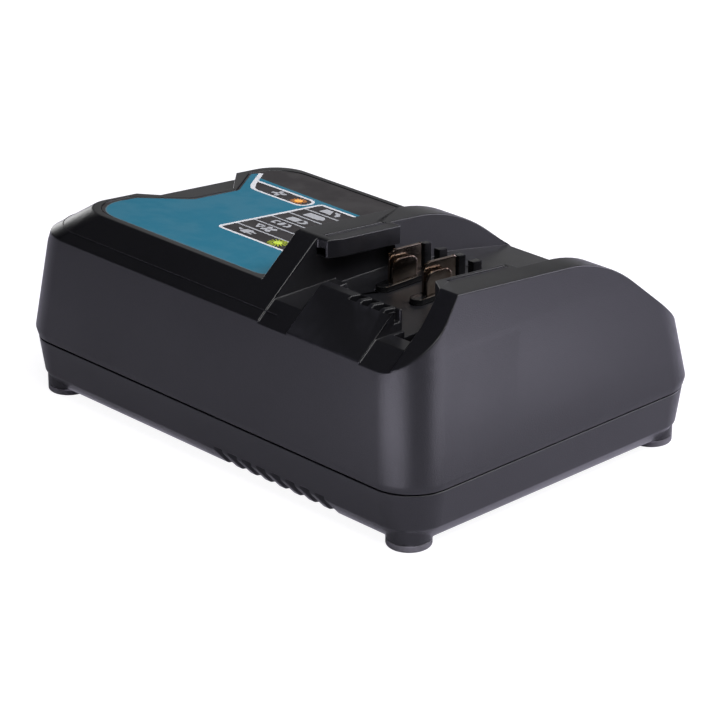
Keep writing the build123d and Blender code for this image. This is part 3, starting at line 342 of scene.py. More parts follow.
def handling_group() -> Tree:
    """Build the faint uneven shine that handling leaves on plastic.

    Returns:
        A group with Patch in metres, giving Shine and Speck.
    """
    maker = GroupMaker("handling")
    patch = maker.value_in("Patch", 0.03)
    place = maker.node("ShaderNodeTexCoord").outputs["Object"]
    broad = maker.node("ShaderNodeTexNoise")
    maker.wire(place, broad.inputs["Vector"])
    maker.wire(maker.math("DIVIDE", 1.0, patch), broad.inputs["Scale"])
    broad.inputs["Detail"].default_value = 4.0
    maker.put_out("Shine", maker.ramp(broad.outputs[0], 0.35, 0.65))
    speck = maker.node("ShaderNodeTexNoise")
    maker.wire(place, speck.inputs["Vector"])
    maker.wire(maker.math("DIVIDE", 12.0, patch), speck.inputs["Scale"])
    speck.inputs["Detail"].default_value = 6.0
    maker.put_out("Speck", maker.ramp(speck.outputs[0], 0.66, 0.78))
    return maker.tree


def wear_and_highlight_group() -> Tree:
    """Build a mask of the sharp corners, broken up by noise: wear where they rub, and a painted
    highlight on the edges.

    Returns:
        A group with Reach, giving Worn.
    """
    maker = GroupMaker("corner_wear_and_highlight")
    reach = maker.value_in("Reach", 0.05)
    corner = maker.node("ShaderNodeNewGeometry").outputs["Pointiness"]
    over = maker.math("DIVIDE", maker.math("SUBTRACT", corner, 0.5), reach)
    place = maker.node("ShaderNodeTexCoord").outputs["Object"]
    breakup = maker.node("ShaderNodeTexNoise")
    maker.wire(place, breakup.inputs["Vector"])
    breakup.inputs["Scale"].default_value = 260.0
    breakup.inputs["Detail"].default_value = 3.0
    # the mask marks worn corners and also the edges that get a painted highlight
    maker.put_out("WearAndHighlight", maker.math("MULTIPLY", maker.ramp(over, 0.2, 1.0), breakup.outputs[0]))
    return maker.tree


def wall_group() -> Tree:
    """Build a mask of the casing's outer side walls, which carry the coarse texture.

    Returns:
        A group giving Wall.
    """
    maker = GroupMaker("outer_wall")
    place = maker.node("ShaderNodeTexCoord").outputs["Object"]
    split = maker.node("ShaderNodeSeparateXYZ")
    maker.wire(place, split.inputs[0])
    half_x = CAD_BOX[1][0]
    half_y = CAD_BOX[1][1]
    out_x = maker.math("ABSOLUTE", split.outputs["X"])
    out_y = maker.math("ABSOLUTE", split.outputs["Y"])
    ends = maker.ramp(out_x, half_x - 11 * MM, half_x - 10 * MM)
    sides = maker.ramp(out_y, half_y - 10 * MM, half_y - 9 * MM)
    facing = maker.node("ShaderNodeSeparateXYZ")
    maker.wire(maker.node("ShaderNodeNewGeometry").outputs["Normal"], facing.inputs[0])
    upright = maker.math("SUBTRACT", 1.0, maker.ramp(facing.outputs["Z"], 0.3, 0.5))
    maker.put_out("Wall", maker.math("MULTIPLY", maker.math("MAXIMUM", ends, sides), upright))
    return maker.tree


class Effects:
    """The shader groups that the finishes share, built once."""

    spark: Tree
    handling: Tree
    wear_and_highlight: Tree
    wall: Tree

    @classmethod
    def build(cls) -> None:
        """Build all the groups."""
        cls.spark = spark_group()
        cls.handling = handling_group()
        cls.wear_and_highlight = wear_and_highlight_group()
        cls.wall = wall_group()


class Shader:
    """One material's node tree round its Principled shader."""

    def __init__(self, name: str, colour: Colour, roughness: float, **sockets: object) -> None:
        """Start a material with plain values on the shader's own sockets."""
        self.material = bpy.data.materials.new(name)
        self.material.use_nodes = True
        self.nodes = self.material.node_tree.nodes
        self.links = self.material.node_tree.links
        self.main = self.nodes["Principled BSDF"]
        self.main.inputs["Base Color"].default_value = (*colour, 1.0)
        self.main.inputs["Roughness"].default_value = roughness
        for key, value in sockets.items():
            self.main.inputs[key.replace("_", " ")].default_value = value
        self.material.diffuse_color = (*colour, 1.0)

    def group(self, tree: Tree, **values: float) -> bpy.types.Node:
        """Place a shared group with its own values."""
        node = self.nodes.new("ShaderNodeGroup")
        node.node_tree = tree
        for key, value in values.items():
            node.inputs[key].default_value = value
        return node

    def mix_colour(self, mask: Socket, low: Colour, high: Colour) -> Socket:
        """Mix two colours by a mask and return the result."""
        node = self.nodes.new("ShaderNodeMix")
        node.data_type = "RGBA"
        node.inputs["A"].default_value = (*low, 1.0)
        node.inputs["B"].default_value = (*high, 1.0)
        self.links.new(mask, node.inputs["Factor"])
        return node.outputs["Result"]

    def spread(self, mask: Socket, low: float, high: float) -> Socket:
        """Map a 0..1 mask to low..high and return the result."""
        node = self.nodes.new("ShaderNodeMapRange")
        node.inputs["To Min"].default_value = low
        node.inputs["To Max"].default_value = high
        self.links.new(mask, node.inputs["Value"])
        return node.outputs["Result"]

    def math(self, operation: str, first: object, second: object) -> Socket:
        """Add a Math node fed by sockets or numbers and return its output."""
        node = self.nodes.new("ShaderNodeMath")
        node.operation = operation
        for socket, source in zip(node.inputs, (first, second)):
            if isinstance(source, (int, float)):
                socket.default_value = source
            else:
                self.links.new(source, socket)
        return node.outputs[0]

    def feed(self, source: Socket, name: str) -> None:
        """Link a result to one of the shader's sockets."""
        self.links.new(source, self.main.inputs[name])

    def relief(self, height: Socket, depth: float, strength: object = 1.0) -> None:
        """Feed the shader's normal from a height, with its depth in metres."""
        bump = self.nodes.new("ShaderNodeBump")
        bump.inputs["Distance"].default_value = depth
        if isinstance(strength, (int, float)):
            bump.inputs["Strength"].default_value = strength
        else:
            self.links.new(strength, bump.inputs["Strength"])
        self.links.new(height, bump.inputs["Height"])
        self.links.new(bump.outputs["Normal"], self.main.inputs["Normal"])


def shade(colour: Colour, factor: float) -> Colour:
    """Return the colour made lighter or darker by a factor."""
    return tuple(min(1.0, part * factor) for part in colour)


# ---------------------------------------------------------------- finishes
@dataclass(frozen=True)
class CasingPlastic:
    """Black casing plastic: a spark texture on the outer walls, satin elsewhere, and lighter
    corners that are partly wear and partly a painted edge highlight.
    """

    name: str = "case_plastic"
    colour: Colour = (0.0062, 0.0062, 0.0074)
    wall_roughness: float = 0.33
    satin_roughness: float = 0.30
    uneven_roughness: float = 0.05
    pitch: float = 0.42 * MM
    depth: float = 0.04 * MM
    satin_depth: float = 0.12
    patch: float = 35 * MM
    wear_and_highlight_reach: float = 0.06
    pit_share: float = 0.14
    # how much lighter the corners are: partly wear, partly a painted edge highlight
    wear_and_highlight_lightness: float = 4.0

    def material(self) -> Material:
        """Build the material."""
        shader = Shader(self.name, self.colour, self.satin_roughness)
        wall = shader.group(Effects.wall).outputs["Wall"]
        spark = shader.group(Effects.spark, Pitch=self.pitch)
        handling = shader.group(Effects.handling, Patch=self.patch)
        wear_and_highlight_mask = shader.group(Effects.wear_and_highlight, Reach=self.wear_and_highlight_reach).outputs["WearAndHighlight"]
        base = shader.spread(wall, self.satin_roughness, self.wall_roughness)
        uneven = shader.math("MULTIPLY_ADD", handling.outputs["Shine"], self.uneven_roughness)
        shader.links.new(base, uneven.node.inputs[2])
        shader.feed(uneven, "Roughness")
        pits = shader.math("MULTIPLY", spark.outputs["Tone"], self.pit_share)
        # lighten the sharp corners: partly wear, partly a painted highlight on the edges
        tone = shader.math("MAXIMUM", pits, wear_and_highlight_mask)
        tint = shader.mix_colour(tone, self.colour, shade(self.colour, self.wear_and_highlight_lightness))
        shader.feed(tint, "Base Color")
        strength = shader.spread(wall, self.satin_depth, 1.0)
        shader.relief(spark.outputs["Height"], self.depth, strength)
        return shader.material


@dataclass(frozen=True)
class MouldedPlastic:
    """Plain moulded plastic with a fine texture and uneven shine."""

    name: str
    colour: Colour
    roughness: float = 0.4
    pitch: float = 0.5 * MM
    depth: float = 0.02 * MM
    coat: float = 0.0
    specular: float = 0.5
    patch: float = 20 * MM
    shine_range: Point = (-0.04, 0.06)
    tone_range: Point = (0.9, 1.15)

    def material(self) -> Material:
        """Build the material."""
        sockets = {"Coat_Weight": self.coat, "Specular_IOR_Level": self.specular}
        shader = Shader(self.name, self.colour, self.roughness, **sockets)
        spark = shader.group(Effects.spark, Pitch=self.pitch)
        handling = shader.group(Effects.handling, Patch=self.patch)
        glossy, matt = (self.roughness + change for change in self.shine_range)
        shader.feed(shader.spread(handling.outputs["Shine"], glossy, matt), "Roughness")
        dark, light = (shade(self.colour, factor) for factor in self.tone_range)
        shader.feed(shader.mix_colour(spark.outputs["Tone"], dark, light), "Base Color")
        shader.relief(spark.outputs["Height"], self.depth)
        return shader.material


@dataclass(frozen=True)
class Ink(MouldedPlastic):
    """Printed ink under a clear satin film: a finer and more even plastic."""

    roughness: float = 0.34
    pitch: float = 0.25 * MM
    depth: float = 0.006 * MM
    specular: float = 0.3
    patch: float = 12 * MM
    shine_range: Point = (-0.05, 0.07)
    tone_range: Point = (0.94, 1.05)


@dataclass(frozen=True)
class Rubber:
    """Soft rubber: matt, with a dusty bloom."""

    name: str
    colour: Colour
    roughness: float = 0.75
    dusty_roughness: float = 0.9
    pitch: float = 0.8 * MM
    depth: float = 0.04 * MM
    patch: float = 8 * MM
    bloom: float = 0.6

    def material(self) -> Material:
        """Build the material."""
        shader = Shader(self.name, self.colour, self.roughness)
        spark = shader.group(Effects.spark, Pitch=self.pitch)
        handling = shader.group(Effects.handling, Patch=self.patch)
        bloom = shader.math("MULTIPLY", handling.outputs["Shine"], self.bloom)
        shader.feed(shader.mix_colour(bloom, self.colour, shade(self.colour, 1.5)), "Base Color")
        specks = shader.spread(handling.outputs["Speck"], self.roughness, self.dusty_roughness)
        shader.feed(specks, "Roughness")
        shader.relief(spark.outputs["Height"], self.depth)
        return shader.material


@dataclass(frozen=True)
class PlatedMetal:
    """Rolled and plated metal: fine lines along one axis and a faint tarnish."""

    name: str
    colour: Colour
    tarnish: Colour
    roughness: float = 0.25
    along: Point = (1.0, 0.02)
    fineness: float = 9000.0
    depth: float = 0.0012 * MM
    patch: float = 6 * MM

    def material(self) -> Material:
        """Build the material."""
        shader = Shader(self.name, self.colour, self.roughness, Metallic=1.0)
        place = shader.nodes.new("ShaderNodeTexCoord")
        stretch = shader.nodes.new("ShaderNodeMapping")
        stretch.inputs["Scale"].default_value = (self.along[0], self.along[1], self.along[0])
        lines = shader.nodes.new("ShaderNodeTexNoise")
        lines.inputs["Scale"].default_value = self.fineness
        lines.inputs["Detail"].default_value = 2.0
        shader.links.new(place.outputs["Object"], stretch.inputs["Vector"])
        shader.links.new(stretch.outputs["Vector"], lines.inputs["Vector"])
        handling = shader.group(Effects.handling, Patch=self.patch)
        bright, dull = self.roughness - 0.06, self.roughness + 0.1
        shader.feed(shader.spread(lines.outputs[0], bright, dull), "Roughness")
        tint = shader.mix_colour(handling.outputs["Shine"], self.colour, self.tarnish)
        shader.feed(tint, "Base Color")
        shader.relief(lines.outputs[0], self.depth)
        return shader.material


@dataclass(frozen=True)
class Lens:
    """A tinted lens with a lamp glowing under it."""

    name: str
    colour: Colour
    glow: float
    roughness: float = 0.18
    coat: float = 0.5
    patch: float = 4 * MM

    def material(self) -> Material:
        """Build the material."""
        shader = Shader(
            self.name,
            self.colour,
            self.roughness,
            Emission_Strength=self.glow,
            Coat_Weight=self.coat,
        )
        handling = shader.group(Effects.handling, Patch=self.patch)
        uneven = shader.mix_colour(handling.outputs["Shine"], shade(self.colour, 0.8), self.colour)
        shader.feed(uneven, "Base Color")
        shader.feed(uneven, "Emission Color")
        return shader.material


@dataclass(frozen=True)
class Laminate:
    """A circuit board: solder mask over copper tracks, with the weave showing."""

    name: str = "board_laminate"
    mask: Colour = (0.012, 0.085, 0.03)
    track: Colour = (0.03, 0.16, 0.055)
    roughness: float = 0.3
    coat: float = 0.3
    fineness: float = 240.0
    depth: float = 0.03 * MM

    def material(self) -> Material:
        """Build the material."""
        shader = Shader(self.name, self.mask, self.roughness, Coat_Weight=self.coat)
        place = shader.nodes.new("ShaderNodeTexCoord")
        tracks = shader.nodes.new("ShaderNodeTexBrick")
        tracks.inputs["Scale"].default_value = self.fineness
        tracks.inputs["Color1"].default_value = (0.0, 0.0, 0.0, 1.0)
        tracks.inputs["Color2"].default_value = (1.0, 1.0, 1.0, 1.0)
        tracks.inputs["Mortar"].default_value = (0.4, 0.4, 0.4, 1.0)
        shader.links.new(place.outputs["Object"], tracks.inputs["Vector"])
        shader.feed(shader.mix_colour(tracks.outputs["Color"], self.mask, self.track), "Base Color")
        shader.relief(tracks.outputs["Color"], self.depth)
        return shader.material


@dataclass(frozen=True)
class Wound:
    """Wound wire or tape: fine turns one beside another."""

    name: str
    colour: Colour
    gap: Colour
    turns: float
    roughness: float = 0.35
    metallic: float = 0.0
    depth: float = 0.2 * MM

    def material(self) -> Material:
        """Build the material."""
        shader = Shader(self.name, self.colour, self.roughness, Metallic=self.metallic)
        place = shader.nodes.new("ShaderNodeTexCoord")
        turns = shader.nodes.new("ShaderNodeTexWave")
        turns.bands_direction = "Z"
        turns.inputs["Scale"].default_value = self.turns
        turns.inputs["Distortion"].default_value = 0.4
        shader.links.new(place.outputs["Object"], turns.inputs["Vector"])
        shader.feed(shader.mix_colour(turns.outputs["Fac"], self.gap, self.colour), "Base Color")
        shader.relief(turns.outputs["Fac"], self.depth)
        return shader.material


class Paint(Enum):
    """The record's material slots that the pieces made here go in."""

    CASE = "case_plastic"
    BLOCK = "block_plastic"
    TERMINAL = "terminal_nickel"
    FILM = "label_film"
    GREEN_LENS = "green_lens"
    ORANGE_LENS = "orange_lens"


CASING_FINISHES = (
    CasingPlastic(),
    MouldedPlastic("block_plastic", (0.0035, 0.0035, 0.004), 0.18, 0.6 * MM, 0.01 * MM),
    Rubber("foot_rubber", (0.125, 0.121, 0.132), 0.60),
    Rubber("gland_rubber", (0.012, 0.012, 0.013)),
    PlatedMetal("terminal_nickel", (0.50, 0.42, 0.35), (0.34, 0.26, 0.20), 0.16),
)
LABEL_FINISHES = (
    Ink("label_film", (0.021, 0.018, 0.020), 0.38),
    Ink("ink_teal", (0.005, 0.148, 0.236), 0.38),
    # pale teal for the painted highlight line along the label sheet's edge
    Ink("painted_edge_highlight", (0.075, 0.150, 0.190), 0.34),
    Ink("ink_white", (0.72, 0.73, 0.76), 0.4),
    Ink("ink_grey", (0.42, 0.43, 0.46), 0.4),
    Ink("ink_green", (0.38, 0.46, 0.02), 0.4),
    Ink("ink_orange", (0.60, 0.20, 0.02), 0.4),
    Lens("green_lens", (0.55, 0.72, 0.03), 0.35),
    Lens("orange_lens", (1.0, 0.42, 0.05), 0.35),
    Lens("green_led", (0.25, 0.75, 0.15), 0.2),
    Lens("orange_led", (0.9, 0.35, 0.06), 0.2),
)
METAL_FINISHES = (
    PlatedMetal("screw_steel", (0.46, 0.46, 0.48), (0.36, 0.36, 0.37), 0.3),
    PlatedMetal("shaft_steel", (0.6, 0.6, 0.62), (0.5, 0.5, 0.5), 0.2),
    PlatedMetal("stator_steel", (0.30, 0.28, 0.27), (0.2, 0.18, 0.17), 0.45),
    PlatedMetal("bearing_bronze", (0.50, 0.34, 0.17), (0.4, 0.27, 0.15), 0.4),
    PlatedMetal("heat_sink", (0.62, 0.62, 0.64), (0.5, 0.5, 0.52), 0.34),
    PlatedMetal("fuse_metal", (0.66, 0.66, 0.65), (0.55, 0.54, 0.52), 0.2),
    Wound("choke_winding", (0.55, 0.22, 0.07), (0.16, 0.05, 0.02), 420.0, 0.3, 0.6),
)
INNER_FINISHES = (
    Laminate(),
    Wound("winding_tape", (0.72, 0.50, 0.06), (0.45, 0.28, 0.03), 60.0),
    MouldedPlastic("ferrite", (0.022, 0.022, 0.024), 0.55),
    MouldedPlastic("insulating_film", (0.55, 0.55, 0.48), 0.3),
    MouldedPlastic("capacitor_sleeve", (0.012, 0.014, 0.04), 0.25, coat=0.4),
    MouldedPlastic("capacitor_case", (0.45, 0.32, 0.04), 0.3),
    MouldedPlastic("package_resin", (0.012, 0.012, 0.012), 0.5),
    MouldedPlastic("connector_nylon", (0.62, 0.58, 0.48), 0.42),
    MouldedPlastic("lead_red", (0.35, 0.012, 0.01), 0.3),
    MouldedPlastic("lead_black", (0.01, 0.01, 0.01), 0.3),
    MouldedPlastic("fan_plastic", (0.012, 0.012, 0.013), 0.4),
    MouldedPlastic("duct_plastic", (0.02, 0.02, 0.022), 0.45),
)


class Rack:
    """Every material of the charger, by its record slot or its own name."""

    made: dict[str, Material] = {}

    @classmethod
    def fill(cls) -> None:
        """Build every material once."""
        Effects.build()
        for finish in (*CASING_FINISHES, *LABEL_FINISHES, *METAL_FINISHES, *INNER_FINISHES):
            cls.made[finish.name] = finish.material()

    @classmethod
    def get(cls, name: str) -> Material:
        """Return the material of that name."""
        return cls.made[name]


def remake(node: str, name: str, paint: Paint, edge: float, segments: int, angle: float) -> None:
    """Replace a CAD node with a copy that has rounded edges, and dress it.

    Args:
        node: The CAD node's name.
        name: The new piece's name.
        paint: Its finish and its slot.
        edge: The width of its rounded edges in metres.
        segments: The facets across them.
        angle: The sharpest edge in degrees that stays as it is.
    """
    piece = take_node(node, name)
    round_edges(piece, edge, segments, angle)
    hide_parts(node)
    dress(piece, Rack.get(paint.value))


# ---------------------------------------------------------------- flat prints
def rounded(corners: Sequence[Corner], steps: int = 6) -> list[Point]:
    """Round the corners of a closed outline.

    Args:
        corners: Each corner's x, y and radius, in millimetres.
        steps: The chords in each rounded corner.

    Returns:
        The outline's points.
    """
    points: list[Point] = []
    for index, (x, y, radius) in enumerate(corners):
        here = Vector((x, y))
        before = (Vector(corners[index - 1][:2]) - here).normalized()
        after = (Vector(corners[(index + 1) % len(corners)][:2]) - here).normalized()
        half = before.angle(after) / 2
        if radius <= 0 or abs(half - pi / 2) < 1e-3:
            points.append((x, y))
            continue
        centre = here + (before + after).normalized() * (radius / sin(half))
        start = here + before * (radius / tan(half)) - centre
        finish = here + after * (radius / tan(half)) - centre
        turn = start.angle_signed(finish)
        for step in range(steps + 1):
            spoke = Matrix.Rotation(-turn * step / steps, 2) @ start
            points.append(tuple(centre + spoke))
    return points


def bar(x0: float, y0: float, x1: float, y1: float, radius: float = 0.0) -> list[Corner]:
    """Return the four corners of a bar, each with the same radius."""
    return [(x0, y0, radius), (x1, y0, radius), (x1, y1, radius), (x0, y1, radius)]


def disc(centre: Point, radius: float) -> list[Corner]:
    """Return a disc as a bar whose corners are rounded all the way."""
    x, y = centre
    return bar(x - radius, y - radius, x + radius, y + radius, radius * 0.998)


def petal(centre: Point, near: float, far: float, width: float, angle: float) -> list[Corner]:
    """Return a rounded petal that points away from a centre.

    Args:
        centre: The middle of the flower.
        near: How far from the centre it starts.
        far: How far from the centre it ends.
        width: Its full width.
        angle: Its direction in degrees.

    Returns:
        Its corners.
    """
    along = Vector((cos(radians(angle)), sin(radians(angle))))
    across = Vector((-along.y, along.x)) * (width / 2)
    middle = Vector(centre)
    ends = ((near, -1), (far, -1), (far, 1), (near, 1))
    return [(*(middle + along * reach + across * side), width * 0.45) for reach, side in ends]


def draw(curve: bpy.types.Curve, points: Sequence[Point], closed: bool) -> None:
    """Draw a chain of straight lines on a curve.

    Args:
        curve: The curve to draw on.
        points: The chain's points, in millimetres.
        closed: Whether the last point joins the first one.
    """
    spline = curve.splines.new("POLY")
    spline.points.add(len(points) - 1)
    for target, (x, y) in zip(spline.points, points):
        target.co = (x * MM, y * MM, 0.0, 1.0)
    spline.use_cyclic_u = closed


def mesh_from(curve: bpy.types.Curve, name: str) -> Piece:
    """Turn a curve into a mesh.

    Args:
        curve: The finished curve.
        name: The piece's name.

    Returns:
        The curve's surface as a piece at the origin.
    """
    piece = bpy.data.objects.new(name, curve)
    bpy.context.scene.collection.objects.link(piece)
    pick(piece)
    bpy.ops.object.convert(target="MESH")
    piece.data.name = name
    return piece


def plate(name: str, outlines: Sequence[Sequence[Corner]], thickness: float) -> Piece:
    """Make a thin flat plate at the origin from an outline and its holes.

    Args:
        name: The plate's name.
        outlines: The outer outline and then its holes, in millimetres.
        thickness: The plate's height in millimetres.

    Returns:
        The plate as a mesh, standing on z = 0.
    """
    curve = bpy.data.curves.new(name, "CURVE")
    curve.dimensions = "2D"
    curve.fill_mode = "BOTH"
    curve.extrude = thickness * MM / 2
    for outline in outlines:
        draw(curve, rounded(outline), True)
    piece = mesh_from(curve, name)
    piece.location.z = thickness * MM / 2
    settle(piece)
    bpy.ops.object.mode_set(mode="EDIT")
    bpy.ops.mesh.select_all(action="SELECT")
    bpy.ops.mesh.remove_doubles(threshold=WELD)
    bpy.ops.mesh.normals_make_consistent(inside=False)
    bpy.ops.object.mode_set(mode="OBJECT")
    return piece


def tip(piece: Piece, tilt: float, height: float) -> Piece:
    """Lay a piece that is drawn in plan on a plane that rises to the far side.

    Args:
        piece: The piece, drawn on z = 0.
        tilt: The plane's tilt in degrees.
        height: The plane's height over the origin, in millimetres.

    Returns:
        The same piece, its plan unchanged.
    """
    piece.scale.y = 1.0 / cos(radians(tilt))
    piece.rotation_euler.x = -radians(tilt)
    piece.location.z = height * MM
    return settle(piece)


# ---------------------------------------------------------------- casing
@dataclass(frozen=True)
class Bead:
    """One fine raised line on the casing, in millimetres: its path in plan and its plane."""

    name: str
    corners: tuple[Corner, ...]
    height: float
    tilt: float = 0.0
    radius: float = 0.16

    def build(self) -> Piece:
        """Sweep a round section along the path and lay it on its plane."""
        curve = bpy.data.curves.new(self.name, "CURVE")
        curve.dimensions = "3D"
        curve.bevel_depth = self.radius * MM
        curve.bevel_resolution = 3
        curve.use_fill_caps = True
        draw(curve, rounded(self.corners, 12), False)
        return smooth(tip(mesh_from(curve, self.name), self.tilt, self.height))


@dataclass
class Casing:
    """The two halves of the casing, with rounded edges and their fine beads."""

    edge: float = 0.42 * MM
    slope_height: float = 61.4
    slope_path: tuple[Corner, ...] = (
        (29.6, -61.05, 0.0),
        (-86.65, -61.05, 13.0),
        (-84.2, -34.0, 0.0),
    )
    groove_height: float = 76.7
    groove_radius: float = 0.18
    groove_span: Point = (-35.2, -10.0)
    groove_inner_x: float = 25.0
    groove_outer_x: float = 79.0

    def beads(self) -> list[Bead]:
        """Return the line along the label end's slope and the lips of the two rail grooves."""
        beads = [Bead("slope_bead", self.slope_path, self.slope_height)]
        for side, x in (("inner", self.groove_inner_x), ("outer", self.groove_outer_x)):
            path = tuple((x, y, 0.0) for y in self.groove_span)
            lip = (path, self.groove_height, PLATEAU_TILT, self.groove_radius)
            beads.append(Bead(side + "_groove_lip", *lip))
        return beads

    def build(self) -> None:
        """Make both halves and the beads and dress them."""
        for node in ("upper_case", "lower_case"):
            remake(node, node + "_shell", Paint.CASE, self.edge, 3, 24.0)
        for bead in self.beads():
            dress(bead.build(), Rack.get(Paint.CASE.value))


# ---------------------------------------------------------------- label
# each printed symbol: its outer outline and then its holes, in millimetres
SYMBOLS: tuple[tuple[Sequence[Corner], ...], ...] = (
    # the plug: cable, body and two pins
    (((-30.7, -23.6, 0.2), (-28.7, -24.5, 0.2), (-28.4, -23.3, 0.2), (-30.5, -22.7, 0.2)),),
    (((-28.6, -25.4, 0.9), (-25.1, -25.8, 0.4), (-24.4, -22.0, 0.4), (-27.6, -22.0, 1.2)),),
    (((-24.9, -25.2, 0.1), (-22.8, -25.4, 0.2), (-22.7, -24.6, 0.2), (-24.7, -24.4, 0.1)),),
    (((-24.5, -23.5, 0.1), (-22.5, -23.7, 0.2), (-22.4, -22.9, 0.2), (-24.4, -22.7, 0.1)),),
    # the warning triangle
    (
        ((-31.0, -14.4, 0.4), (-26.6, -14.7, 0.4), (-28.2, -18.4, 0.4)),
        ((-29.4, -15.3, 0.2), (-27.6, -15.4, 0.2), (-28.3, -16.8, 0.2)),
    ),
    # the low battery: two ends and a crack between them
    (
        (
            (-27.9, -6.8, 0.2), (-30.3, -6.8, 1.0), (-30.1, -10.2, 1.0), (-27.7, -10.2, 0.2),
            (-27.7, -9.4, 0.2), (-29.2, -9.3, 0.4), (-29.3, -7.7, 0.4), (-27.8, -7.6, 0.2),
        ),
    ),
    (((-26.9, -6.9, 0.2), (-25.2, -6.9, 0.2), (-24.9, -10.2, 0.3), (-26.9, -10.2, 0.3)),),
    (
        (
            (-24.3, -6.8, 0.2), (-22.8, -6.9, 0.8), (-21.6, -8.6, 0.6), (-22.2, -10.2, 0.8),
            (-24.0, -10.2, 0.2), (-24.0, -9.4, 0.2), (-23.1, -9.2, 0.4), (-22.9, -8.0, 0.4),
            (-24.2, -7.6, 0.2),
        ),
    ),
    # the half battery
    (bar(-30.0, -3.3, -25.0, 0.3, 0.4),),
    (
        (
            (-24.4, 0.4, 0.2), (-22.9, 0.4, 0.9), (-21.3, -0.9, 0.6), (-21.5, -2.5, 0.6),
            (-22.9, -3.4, 0.8), (-24.3, -3.4, 0.2), (-24.3, -2.7, 0.2), (-22.9, -2.2, 0.4),
            (-22.8, -0.9, 0.4), (-24.4, -0.3, 0.2),
        ),
    ),
    # the full battery
    (
        (
            (-30.0, 4.5, 0.4), (-22.7, 4.5, 0.8), (-21.3, 5.7, 0.3), (-21.4, 7.0, 0.3),
            (-22.9, 8.4, 0.9), (-30.0, 8.4, 0.4),
        ),
    ),
    # the battery that can't be charged: a body and a broken end
    (((-29.9, 12.2, 0.3), (-24.5, 12.2, 0.2), (-26.7, 16.0, 0.3), (-30.0, 16.0, 0.4)),),
    (
        (
            (-25.8, 16.0, 0.2), (-22.9, 15.7, 0.9), (-21.2, 13.6, 0.6), (-21.8, 12.1, 0.3),
            (-22.6, 12.3, 0.2), (-23.4, 14.1, 0.5), (-25.0, 15.0, 0.2),
        ),
    ),
)
TABLE_FAN = (-23.8, -16.3)
ALARM_FAN = (-53.0, 14.8)


